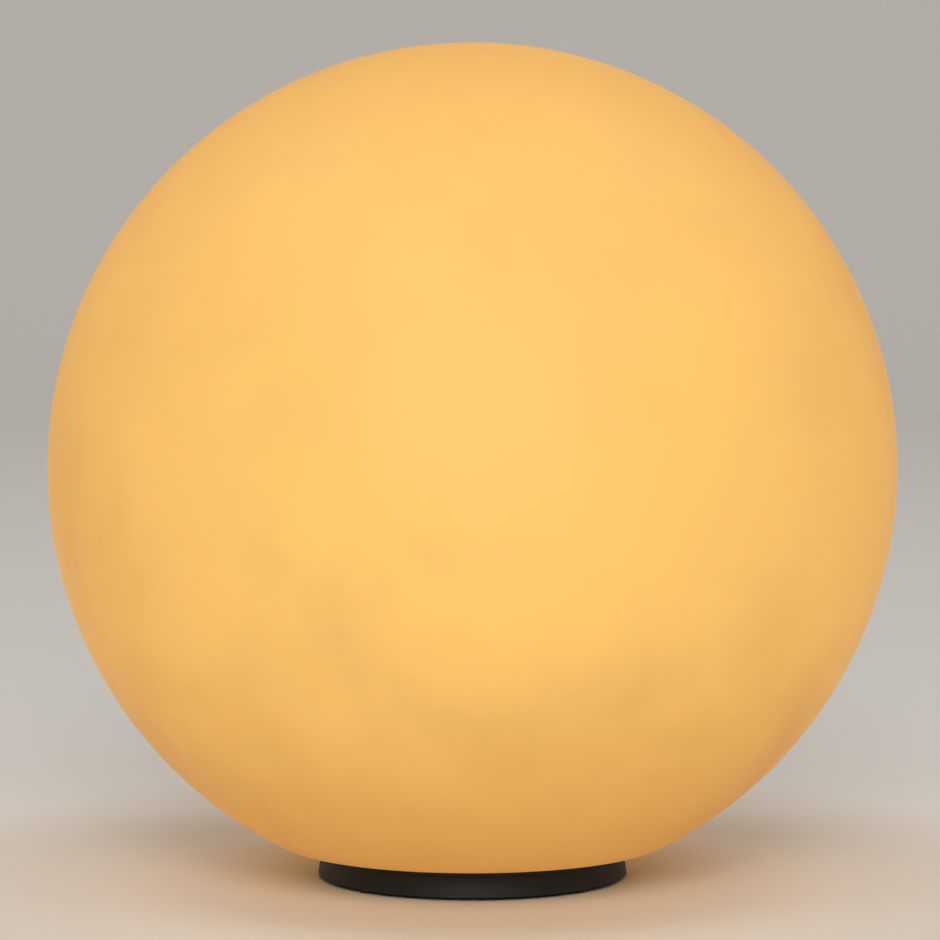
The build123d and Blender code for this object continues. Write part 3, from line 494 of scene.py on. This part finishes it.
def fibre_board():
    """A brown printed board with solder pads."""
    material, tree, shader = new_material("fibre_board")
    where = object_place(tree)
    weave = noise(tree, stretched(tree, where, (1.0, 1.0, 4.0)), 1400.0, 2.0)
    pads = tree.nodes.new("ShaderNodeTexVoronoi")
    feed(tree, pads.inputs["Vector"], where)
    feed(tree, pads.inputs["Scale"], 420.0)
    solder = span(tree, pads.outputs["Distance"], 0.22, 0.16)
    body = tint(tree, weave, (0.42, 0.33, 0.16, 1), (0.55, 0.44, 0.22, 1))
    feed(tree, shader.inputs["Base Color"], tint(tree, solder, body, (0.70, 0.70, 0.68, 1)))
    feed(tree, shader.inputs["Metallic"], solder)
    feed(tree, shader.inputs["Roughness"], calc(tree, "MULTIPLY_ADD", solder, -0.25, 0.55))
    feed(tree, shader.inputs["Normal"], bump(tree, weave, 0.00003))
    return material


finishes = {
    "opal_plastic": lit_opal(),
    # painted shade: the plastic is black, and this black is made darker still to stand for the shade
    # on the foot under the globe
    "black_plastic": moulding("grained_black_plastic", (0.009, 0.009, 0.010), 0.55,
                              worn=(0.055, 0.055, 0.058), grains=1500.0, depth=0.00004,
                              dust=0.06, Specular_IOR_Level=0.35),
    "black_rubber": moulding("black_rubber", (0.017, 0.017, 0.018), 0.78, grains=2400.0,
                             depth=0.00002, worn=(0.06, 0.06, 0.06), dust=0.25, scratches=0.1),
    "gland_plastic": moulding("black_polyamide", (0.024, 0.024, 0.026), 0.42, grains=2200.0,
                              depth=0.00002, worn=(0.10, 0.10, 0.10)),
    "holder_plastic": moulding("black_phenolic", (0.018, 0.015, 0.014), 0.28, grains=700.0,
                               depth=0.00001, worn=(0.09, 0.07, 0.06), scratches=0.5,
                               Coat_Weight=0.25, Coat_Roughness=0.2),
    "core_ceramic": moulding("white_ceramic", (0.76, 0.73, 0.66), 0.45, grains=1100.0, tone=0.07,
                             worn=(0.62, 0.58, 0.50), depth=0.00002, dust=0.2),
    "cap_glass": moulding("black_cap_glass", (0.012, 0.012, 0.016), 0.12, grains=500.0,
                          depth=0.00003, worn=(0.05, 0.05, 0.05), scratches=0.2),
    "white_block": moulding("white_polyamide", (0.74, 0.73, 0.68), 0.50, grains=1800.0, tone=0.06,
                            worn=(0.82, 0.81, 0.77)),
    "wire_brown": moulding("brown_insulation", (0.17, 0.062, 0.022), 0.45, grains=2600.0,
                           depth=0.00001),
    "wire_blue": moulding("blue_insulation", (0.022, 0.085, 0.34), 0.45, grains=2600.0,
                          depth=0.00001),
    "plated_steel": metal("plated_steel", (0.66, 0.66, 0.63), 0.30, (0.34, 0.33, 0.30)),
    "brass": metal("plain_brass", (0.74, 0.53, 0.22), 0.28, (0.30, 0.19, 0.08)),
    "nickel": metal("bright_nickel", (0.72, 0.70, 0.66), 0.20, (0.42, 0.39, 0.34), tarnished=0.25),
    "clear_glass": clear_glass(),
    "filament": lit_filament(),
    "board": fibre_board(),
}


# ------------------------------------------------------------------ modelling helpers

def arc(centre_r, centre_z, radius, start, end, count):
    """Points along an arc from one angle to another, in degrees."""
    turns = [radians(start + (end - start) * i / count) for i in range(count + 1)]
    return [(centre_r + radius * cos(t), centre_z + radius * sin(t)) for t in turns]


def ring_of(radius, count, start, height):
    """Places on a circle, the first at the start angle."""
    turns = [radians(start + 360 / count * i) for i in range(count)]
    return [(radius * cos(t), radius * sin(t), height) for t in turns]


def spun(name, outline, steps=96, body="base", slot="black_rubber", stands_for=()):
    """A turned piece: a ring of points is laid along the outline of (radius, height) and spun,
    without the edge that lies on the axis."""
    deselect()
    bpy.ops.mesh.primitive_circle_add(vertices=len(outline), radius=0.01)
    piece = bpy.context.object
    piece.name = name
    for vertex, (r, z) in zip(piece.data.vertices, outline):
        vertex.co = (r * MM, 0, z * MM)
    bpy.ops.object.mode_set(mode="EDIT")
    bpy.ops.mesh.select_mode(type="EDGE")
    bpy.ops.mesh.select_all(action="DESELECT")
    bpy.ops.object.mode_set(mode="OBJECT")
    points = piece.data.vertices
    on_axis = [all(abs(points[v].co.x) < TINY for v in edge.vertices) for edge in piece.data.edges]
    for edge, inside in zip(piece.data.edges, on_axis):
        edge.select = inside
    bpy.ops.object.mode_set(mode="EDIT")
    if any(on_axis):
        bpy.ops.mesh.delete(type="EDGE")
    bpy.ops.mesh.select_all(action="SELECT")
    bpy.ops.mesh.spin(steps=steps, angle=tau, center=(0, 0, 0), axis=(0, 0, 1))
    bpy.ops.mesh.select_all(action="SELECT")
    bpy.ops.mesh.remove_doubles(threshold=TINY)
    bpy.ops.mesh.normals_make_consistent(inside=False)
    bpy.ops.object.mode_set(mode="OBJECT")
    bpy.ops.object.shade_smooth_by_angle(angle=radians(35))
    return settle(piece, body, slot, stands_for)


def eased(piece, width):
    """Rounds the piece's edges a little."""
    bpy.context.view_layer.objects.active = piece
    modifier = piece.modifiers.new("eased_edges", "BEVEL")
    modifier.width = width * MM
    modifier.segments = 2
    modifier.limit_method = "ANGLE"
    modifier.angle_limit = radians(32)
    bpy.ops.object.modifier_apply(modifier=modifier.name)


def settle(piece, body, slot, stands_for=()):
    """Gives a finished piece the material of its slot and its body, and hides the nodes it stands
    for.
    """
    piece.data.materials.clear()
    piece.data.materials.append(finishes[slot])
    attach(piece, body)
    if stands_for:
        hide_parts(*stands_for)
    return piece


def threaded(piece, low, high, depth, pitch=THREAD_PITCH, outside=0.5):
    """Rolls a rounded right-hand thread into the walls that lie outside a radius, between two
    heights, fading in and out over a third of a turn."""
    ease = pitch / 3
    for vertex in piece.data.vertices:
        r, z = vertex.co.xy.length / MM, vertex.co.z / MM
        if r < outside or not low < z < high:
            continue
        turn = atan2(vertex.co.y, vertex.co.x)
        phase = tau * (z - low) / pitch - turn
        fade = min(1.0, (z - low) / ease, (high - z) / ease)
        vertex.co.xy *= (r - depth * fade * (0.5 - 0.5 * cos(phase))) / r
    piece.data.update()


def copied(piece, name, matrix):
    """A copy with its own mesh, moved by the matrix into its place."""
    twin = piece.copy()
    twin.data = piece.data.copy()
    twin.name = name
    bpy.context.scene.collection.objects.link(twin)
    twin.data.transform(matrix)
    return twin


def pick_faces(piece, wanted):
    """In edit mode: selects the faces for which wanted(centre, normal) holds, in millimetres."""
    mesh = bmesh.from_edit_mesh(piece.data)
    for face in mesh.faces:
        face.select_set(False)
    for face in mesh.faces:
        if wanted(face.calc_center_median() / MM, face.normal):
            face.select_set(True)
    bmesh.update_edit_mesh(piece.data)


# ------------------------------------------------------------------ globe

def opal_globe():
    """The ball with its round edge, flat underside and neck, all one even wall."""
    wall, edge, neck, curl, rim = 3.0, 14.0, 47.6, 4.0, 1.0
    reach = GLOBE_RADIUS - edge
    edge_z, curl_z, rim_z = FLAT + edge, FLAT + curl, FLAT + 13.0
    edge_r = sqrt(reach ** 2 - (GLOBE_CENTRE - edge_z) ** 2)
    lean = -atan2(GLOBE_CENTRE - edge_z, edge_r) * 180 / pi
    outline = arc(0, GLOBE_CENTRE, GLOBE_RADIUS, 90, lean, 96)
    outline += arc(edge_r, edge_z, edge, lean, -90, 6)[1:]
    outline += arc(neck + curl, curl_z, curl, -90, -180, 8)
    outline += arc(neck + rim, rim_z, rim, 180, 90, 4)
    outline += arc(neck + wall - rim, rim_z, rim, 90, 0, 4)
    outline += arc(neck + curl, curl_z, curl - wall, -180, -90, 4)
    outline += arc(edge_r, edge_z, edge - wall, -90, lean, 4)
    outline += arc(0, GLOBE_CENTRE, GLOBE_RADIUS - wall, lean, 90, 60)[1:]
    # both skins meet the axis
    outline[0] = (0.0, outline[0][1])
    outline[-1] = (0.0, outline[-1][1])
    spun("opal_globe", outline, 160, "globe", "opal_plastic", ["globe_shade"])


# ------------------------------------------------------------------ foot

def seal_ring():
    """The ring seal: two soft lips on a flat back."""
    back, face, reach, half, lip = 43.4, 46.0, 47.3, 1.95, 0.8
    z = FLAT + 6.5
    outline = [(back, z - half), (face, z - half)]
    outline += arc(reach - lip, z - 1.0, lip, -60, 70, 5)
    outline += [(reach - 0.9, z)]
    outline += arc(reach - lip, z + 1.0, lip, -70, 60, 5)
    outline += [(face, z + half), (back, z + half)]
    spun("ring_seal", outline, 128, "base", "black_rubber", ["globe_seal"])


def foot_pads():
    """Four soft buttons with a moulded ring round a dimple."""
    from_middle, count, radius, edge = 50.8, 4, 3.4, 0.5
    outline = [(0, 2.5), (radius - 0.05, 2.5), (radius, 2.4), (radius, edge)]
    outline += arc(radius - edge, edge, edge, 0, -90, 4)[1:]
    outline += [(2.5, 0.0), (2.35, 0.28), (1.95, 0.28), (1.8, 0.02), (1.2, 0.02), (1.05, 0.3),
                (0.6, 0.3), (0, 0.4)]
    pad = spun("foot_pad_1", outline, 40, "base", "black_rubber")
    for i, place in enumerate(ring_of(from_middle, count, 45, 0)):
        put = Matrix.Translation(Vector(place) * MM)
        settle(copied(pad, f"foot_pad_{i + 1}", put), "base", "black_rubber", ["rubber_feet"])
    bpy.data.objects.remove(pad)


def headed_screw(name, head, head_height, shank, length):
    """A cheese-head screw that stands on its head, with a rolled thread and a blunt point."""
    pitch, depth, core, point = 0.7 * shank, 0.16 * shank, 0.8 * shank, 0.6 * shank
    rim, edge, plain_neck, plain_end = 0.35, 0.05, 0.25, 0.45
    low, high = head_height + plain_neck, length - plain_end
    rows = max(2, int((high - low) / pitch * ROWS_PER_TURN))
    outline = [(0, 0)] + arc(head - rim, rim, rim, -90, 0, 3) + [(head, head_height - edge)]
    outline += [(head - edge, head_height), (shank, head_height)]
    outline += [(shank, low + (high - low) * i / rows) for i in range(rows + 1)]
    outline += [(point, length), (0, length)]
    screw = spun(name, outline, 40)
    threaded(screw, low, high, depth, pitch, outside=core)
    return screw


def cut(piece, cutter, way="DIFFERENCE"):
    """Takes the cutter's form out of the piece, or joins the two or keeps what they share."""
    bpy.context.view_layer.objects.active = piece
    modifier = piece.modifiers.new("cut", "BOOLEAN")
    modifier.operation = way
    modifier.solver = "EXACT"
    modifier.object = cutter
    bpy.ops.object.modifier_apply(modifier=modifier.name)
    bpy.data.objects.remove(cutter)


def recess(width, arm, depth, crossed=True):
    """The form of a cross or a slot, tapered towards its floor, that reaches out past the head."""
    past = 1
    deselect()
    bpy.ops.mesh.primitive_cube_add(size=1, location=(0, 0, (depth - past) / 2 * MM))
    form = bpy.context.object
    form.scale = (2 * arm * MM, width * MM, (depth + past) * MM)
    bpy.ops.object.transform_apply(location=True, scale=True)
    bpy.ops.object.mode_set(mode="EDIT")
    bpy.ops.mesh.select_mode(type="FACE")
    pick_faces(form, lambda centre, normal: normal.z > 0.9)
    floor_length, floor_width = 0.72 if crossed else 1.0, 0.8
    bpy.ops.transform.resize(value=(floor_length, floor_width, 1))
    bpy.ops.object.mode_set(mode="OBJECT")
    if crossed:
        cut(form, copied(form, "cross_arm", Matrix.Rotation(pi / 2, 4, "Z")), "UNION")
    return form


def seated_screws(name, node, size, slot_size, places, turned_home, slot="plated_steel"):
    """Copies of one screw, each turned home at its own angle. Size is the head's radius and
    height, the shank's radius and the length. The slot's size is its width, reach and depth,
    and whether it's crossed."""
    screw = headed_screw(name, *size)
    cut(screw, recess(*slot_size))
    bpy.ops.object.shade_smooth_by_angle(angle=radians(35))
    for i, (place, home) in enumerate(zip(places, turned_home)):
        put = Matrix.Translation(Vector(place) * MM) @ Matrix.Rotation(radians(home), 4, "Z")
        settle(copied(screw, f"{name}_{i + 1}", put), "base", slot, [node])
    bpy.data.objects.remove(screw)


def all_screws():
    """The screws of the cover, the foot ring, the cord box, the terminal block and the holder."""
    seated_screws("cover_screw", "cover_screws", (3.0, 1.6, 1.5, 11.0), (0.85, 2.0, 0.95),
                  ring_of(34, 4, 45, 2.0), (12, 57, 31, 80))
    seated_screws("foot_screw", "foot_screws", (2.0, 1.2, 1.1, 8.2), (0.6, 1.35, 0.75),
                  ring_of(49.3, 3, -90, 1.6), (20, 64, 41))
    seated_screws("cord_box_screw", "cord_box_screws", (2.0, 0.8, 1.1, 4.4), (0.6, 1.3, 0.5),
                  [(-7, 36, 22.2), (7, 36, 22.2)], (8, 50))
    seated_screws("block_screw_seated", "block_screw", (2.4, 1.6, 1.5, 14.5), (0.7, 1.6, 0.9),
                  [(0, BLOCK_Y, 13.5)], (25,))
    poles = [(x, BLOCK_Y + y, 14.5) for x in (-5.4, 5.4) for y in (-4.4, 4.4)]
    seated_screws("grub_screw", "terminal_screws", (1.6, 0.7, 1.45, 1.25), (0.5, 1.7, 0.45, False),
                  poles, (15, 70, 100, 40), "nickel")
    seated_screws("wire_screw", "holder_terminal_screws", (1.7, 0.9, 1.5, 1.8),
                  (0.5, 1.8, 0.5, False), [(-7.6, 0, 54.9), (7.6, 0, 54.9)], (30, 65), "nickel")


# ------------------------------------------------------------------ nuts and the cord gland

def laid(piece):
    """Turns a piece made upright so that it lies along the gland's line, towards the rear."""
    piece.data.transform(Matrix.Translation((0, 0, GLAND_LINE * MM))
                         @ Matrix.Rotation(-pi / 2, 4, "X"))
    return piece


def rolled(name, radius, low, high, pitch, depth):
    """A bar with a rolled thread, to cut the hole of a nut."""
    rows, end, plain = int((high - low) / pitch * ROWS_PER_TURN), 0.3, 0.2
    heights = [low + end + (high - low - 2 * end) * i / rows for i in range(rows + 1)]
    outline = [(0, low), (radius - depth, low)] + [(radius, z) for z in heights]
    outline += [(radius - depth, high), (0, high)]
    bar = spun(name, outline, 72)
    threaded(bar, low + plain, high - plain, depth, pitch)
    return bar


def hexagon_piece(name, flats, low, high, hole, pitch):
    """A hexagon with turned corners and a threaded hole."""
    corner, turned, slope, past, depth = flats / sqrt(3), flats / 2 - 0.3, 0.9, 0.01, 0.25
    beyond = corner + 0.2
    deselect()
    bpy.ops.mesh.primitive_cylinder_add(vertices=6, radius=corner * MM, depth=(high - low) * MM,
                                        location=(0, 0, (low + high) / 2 * MM),
                                        rotation=(0, 0, radians(30)))
    piece = bpy.context.object
    piece.name = name
    bpy.ops.object.transform_apply(location=True, rotation=True)
    lens = [(0, low - past), (turned, low - past), (beyond, low + slope),
            (beyond, high - slope), (turned, high + past), (0, high + past)]
    cut(piece, spun("turned_corners", lens, 72), "INTERSECT")
    cut(piece, rolled("hole_form", hole, low - 1, high + 1, pitch, depth))
    bpy.context.view_layer.objects.active = piece
    piece.select_set(True)
    bpy.ops.object.shade_smooth_by_angle(angle=radians(35))
    return piece


def cord_gland():
    """The gland: threaded sleeve, hexagon, washer, bush, domed and ribbed cap nut and thin nut."""
    bore, seat, core, crest = 4.2, 5.0, 5.6, 6.0
    low, seat_z, high, rows = -0.5, 14.5, 23.0, 88
    sleeve = [(bore, low), (core, low)]
    sleeve += [(crest, -0.2 + high * i / rows) for i in range(rows + 1)]
    sleeve += [(core, high), (seat, high), (seat, seat_z), (bore, seat_z)]
    body = spun("gland_sleeve", sleeve, 72, "base", "gland_plastic", ["gland_body"])
    for start, end in ((-0.3, 10.6), (16.2, 22.8)):
        threaded(body, start, end, GLAND_DEPTH, GLAND_PITCH, outside=5.4)
    laid(body)
    flats = 15.0
    hexagon = laid(hexagon_piece("gland_hexagon", flats, 11.0, 16.0, crest + 0.02, pitch=1.0))
    settle(hexagon, "base", "gland_plastic", ["gland_body"])
    thin_nut = laid(hexagon_piece("gland_thin_nut", flats, 3.5, 7.5, crest + 0.1, GLAND_PITCH))
    settle(thin_nut, "base", "gland_plastic", ["gland_locknut"])
    washer = [(6.15, 10.02), (7.0, 10.0), (7.2, 10.2), (7.2, 10.8), (7.0, 11.0), (6.15, 10.98)]
    laid(spun("gland_flat_washer", washer, 64, "base", "black_rubber", ["gland_washer"]))
    bush = [(3.5, 14.6), (3.7, 14.5), (4.9, 14.5), (4.9, 22.6), (4.5, 23.5), (3.7, 23.5),
            (3.5, 23.3)]
    laid(spun("gland_bush", bush, 64, "base", "black_rubber", ["gland_seal"]))
    cap_nut()


def cap_nut():
    """A nut with a ribbed skirt and a dome that closes in on the cord's mouth."""
    low, high, grip, skirt, sides = 16.3, 29.3, 7.25, 7.0, 72
    thread, mouth, mouth_bore = 6.1, 4.3, 3.9
    deselect()
    bpy.ops.mesh.primitive_cylinder_add(vertices=sides, radius=grip * MM, depth=skirt * MM,
                                        location=(0, 0, (low + skirt / 2) * MM),
                                        end_fill_type="NGON")
    nut = bpy.context.object
    nut.name = "gland_cap_nut"
    bpy.ops.object.transform_apply(location=True)
    bpy.ops.object.mode_set(mode="EDIT")
    bpy.ops.mesh.select_mode(type="FACE")
    pick_faces(nut, lambda centre, normal: normal.z > 0.9)
    last = grip
    for radius, rise in ((7.1, 0.8), (6.7, 1.6), (6.1, 1.5), (5.2, 1.2), (4.6, 0.6), (mouth, 0.3)):
        bpy.ops.mesh.extrude_region_move(TRANSFORM_OT_translate={"value": (0, 0, rise * MM)})
        bpy.ops.transform.resize(value=(radius / last, radius / last, 1))
        last = radius
    # every third side of the skirt is sunk, which leaves the ribs
    pick_faces(nut, lambda centre, normal: abs(normal.z) < 0.2 and centre.z < low + skirt
               and int((atan2(centre.y, centre.x) % tau) / tau * sides) % 3 == 0)
    border, groove = 0.12, 0.35
    bpy.ops.mesh.inset(thickness=border * MM, use_individual=True)
    bpy.ops.mesh.extrude_region_shrink_fatten(TRANSFORM_OT_shrink_fatten={"value": -groove * MM})
    bpy.ops.object.mode_set(mode="OBJECT")
    thread_top = low + skirt + 0.3
    cut(nut, rolled("nut_thread_form", thread, low - 1, thread_top, GLAND_PITCH, GLAND_DEPTH))
    # the mouth's bore is all but plain
    cut(nut, rolled("nut_mouth_form", mouth_bore, thread_top - 1.3, high + 1, 4.0, 0.01))
    bpy.context.view_layer.objects.active = nut
    nut.select_set(True)
    bpy.ops.object.shade_smooth_by_angle(angle=radians(40))
    settle(laid(nut), "base", "gland_plastic", ["gland_nut"])


def nipple_parts():
    """The threaded tube through the tower, its washer and its nut."""
    ceiling, washer_z, nut_z = 33.5, 32.5, 29.0
    bore, core, crest, end, plain, rows = 4.0, 4.7, 5.0, 0.3, 0.2, 96
    pitch, depth = 1.0, 0.22
    low, high = ceiling - 7.0, ceiling + 9.0
    heights = [low + end + (high - low - 2 * end) * i / rows for i in range(rows + 1)]
    outline = [(bore, low), (core, low)] + [(crest, z) for z in heights]
    outline += [(core, high), (bore, high)]
    tube = spun("threaded_nipple", outline, 72, "base", "plated_steel", ["holder_nipple"])
    threaded(tube, low + plain, high - plain, depth, pitch, outside=4.5)
    hole, rim, edge = crest + 0.1, 8.0, 0.1
    washer = [(hole, washer_z), (rim - edge, washer_z), (rim, washer_z + edge),
              (rim, ceiling - edge), (rim - edge, ceiling), (hole, ceiling)]
    spun("nipple_flat_washer", washer, 64, "base", "plated_steel", ["nipple_washer"])
    nut = hexagon_piece("nipple_hexagon_nut", 14.0, nut_z, washer_z, hole, pitch)
    settle(nut, "base", "plated_steel", ["nipple_nut"])


# ------------------------------------------------------------------ lampholder

def threaded_shell():
    """The holder's brass screw shell: a thin wall with a rolled thread and a flange below."""
    low, high, inner, wall, flange, depth = 61.5, HOLDER_TOP - 4.5, 13.4, 0.5, 1.6, 0.3
    run = high - low - 1.0
    rows = int(run / ROW_GAP)
    heights = [low + 0.6 + run * i / rows for i in range(rows + 1)]
    outline = [(inner - flange, low), (inner + wall, low)]
    outline += [(inner + wall, z) for z in heights]
    outline += [(inner + wall, high), (inner, high)]
    outline += [(inner, z) for z in reversed(heights)]
    outline += [(inner - flange, low + wall)]
    shell = spun("threaded_shell", outline, 96, "base", "brass", ["screw_shell"])
    threaded(shell, low + 1.0, high - 0.5, depth)


# ------------------------------------------------------------------ lamp

def threaded_cap():
    """The lamp's nickel cap: rolled shoulder, thread and plain collar crimped to the glass."""
    low, top = TIP + 4.5, TIP + 26.5
    thread_top, shoulder, collar = TIP + 22.0, 2.2, 13.9
    hole, crest, inside, glass, depth = 9.6, 13.05, 12.5, 13.35, 0.62
    run = thread_top - low - 2.4
    rows = int(run / ROW_GAP)
    heights = [low + 2.3 + run * i / rows for i in range(rows + 1)]
    outer = [(hole, low), (10.5, low)]
    outer += arc(crest - shoulder, low + shoulder, shoulder, -90, -10, 6)
    outer += [(crest, z) for z in heights]
    outer += [(collar, thread_top + 1.6), (collar, top - 0.9), (collar - 0.15, top - 0.6),
              (collar, top - 0.3), (collar - 0.1, top), (glass, top)]
    inner = [(glass, thread_top + 1.8), (inside, thread_top)]
    inner += [(inside, z) for z in reversed(heights)]
    inner += [(10.3, low + 0.5), (hole, low + 0.5)]
    cap = spun("threaded_cap", outer + inner, 96, "lamp", "nickel", ["lamp_cap"])
    threaded(cap, low + 2.4, thread_top - 0.1, depth)


def glass_envelope():
    """The blown glass: a straight neck, a hollow curve and a round crown, thin all over."""
    neck, ball, curve, wall, centre_z = 13.1, 30.0, 45.0, 0.9, 138.0
    low = TIP + 24.0

    def skin(inset, count):
        """The line of one side of the glass, from the neck up to the crown."""
        n, b, c = neck - inset, ball - inset, curve + inset
        drop = sqrt((b + c) ** 2 - (n + c) ** 2)
        lean = atan2(drop, n + c) * 180 / pi
        hollow = arc(n + c, centre_z - drop, c, 180, 180 - lean, count // 3)
        return [(n, low)] + hollow + arc(0, centre_z, b, -lean, 90, count)[1:]

    outer, inner = skin(0.0, 44), skin(wall, 36)
    # both skins meet the axis
    outer[-1], inner[-1] = (0.0, outer[-1][1]), (0.0, inner[-1][1])
    spun("glass_envelope", outer + inner[::-1], 96, "lamp", "clear_glass", ["bulb_glass"])


def glass_stem():
    """The pressed glass stem, with its flare in the neck and its button on top."""
    line = [(0, 0), (11.6, 0), (12.1, 0.5), (12.0, 1.2), (9.0, 2.2), (6.2, 4.0), (4.4, 6.5),
            (3.4, 9.5), (3.0, 15.0), (2.75, 22.0), (2.8, 24.0), (3.6, 25.0), (3.9, 25.8),
            (3.6, 26.5), (2.6, STEM_LENGTH), (0, STEM_LENGTH)]
    outline = [(r, STEM_FOOT + z) for r, z in line]
    spun("glass_stem", outline, 48, "lamp", "clear_glass", ["bulb_stem"])


def light_sticks():
    """Four slim sticks that lean in towards their tops, each a thin core in a thicker coat
    that leaves both of its ends bare."""
    low_z, rise, low_ring, high_ring = STEM_FOOT + STEM_LENGTH - 4.0, 36.0, 9.0, 5.5
    core, coat, bare = 0.35, 0.45, 2.0
    ends = zip(ring_of(low_ring, 4, 45, low_z), ring_of(high_ring, 4, 45, low_z + rise))
    for i, (low, high) in enumerate(ends):
        low, high = Vector(low), Vector(high)
        length = (high - low).length
        deselect()
        bpy.ops.mesh.primitive_cylinder_add(vertices=16, radius=core * MM, depth=length * MM,
                                            location=(0, 0, length / 2 * MM))
        stick = bpy.context.object
        stick.name = f"light_stick_{i + 1}"
        bpy.ops.object.transform_apply(location=True)
        bpy.ops.object.mode_set(mode="EDIT")
        for height in (bare, length - bare):
            bpy.ops.mesh.select_all(action="SELECT")
            bpy.ops.mesh.bisect(plane_co=(0, 0, height * MM), plane_no=(0, 0, 1))
        bpy.ops.mesh.select_mode(type="FACE")
        pick_faces(stick, lambda centre, normal: abs(normal.z) < 0.5
                   and bare < centre.z < length - bare)
        bpy.ops.mesh.extrude_region_shrink_fatten(TRANSFORM_OT_shrink_fatten={"value": coat * MM})
        bpy.ops.object.mode_set(mode="OBJECT")
        eased(stick, 0.12)
        bpy.ops.object.shade_smooth_by_angle(angle=radians(40))
        lean = (high - low).to_track_quat("Z", "Y").to_matrix().to_4x4()
        stick.data.transform(Matrix.Translation(low * MM) @ lean)
        settle(stick, "lamp", "filament", ["lamp_filaments"])


# ------------------------------------------------------------------ carried nodes

def carried_nodes():
    """Every node that is still shown gets the finish of its slot."""
    slots = {part["node"]: part["material_slot"] for part in frame["record"]["subparts"]}
    for name, node in frame["nodes"].items():
        if node.hide_render:
            continue
        node.data.materials.clear()
        node.data.materials.append(finishes[slots[name]])


opal_globe()
seal_ring()
foot_pads()
all_screws()
cord_gland()
nipple_parts()
threaded_shell()
threaded_cap()
glass_envelope()
glass_stem()
light_sticks()
carried_nodes()
studio()
photo_camera()
bpy.context.scene.view_settings.view_transform = "Standard"
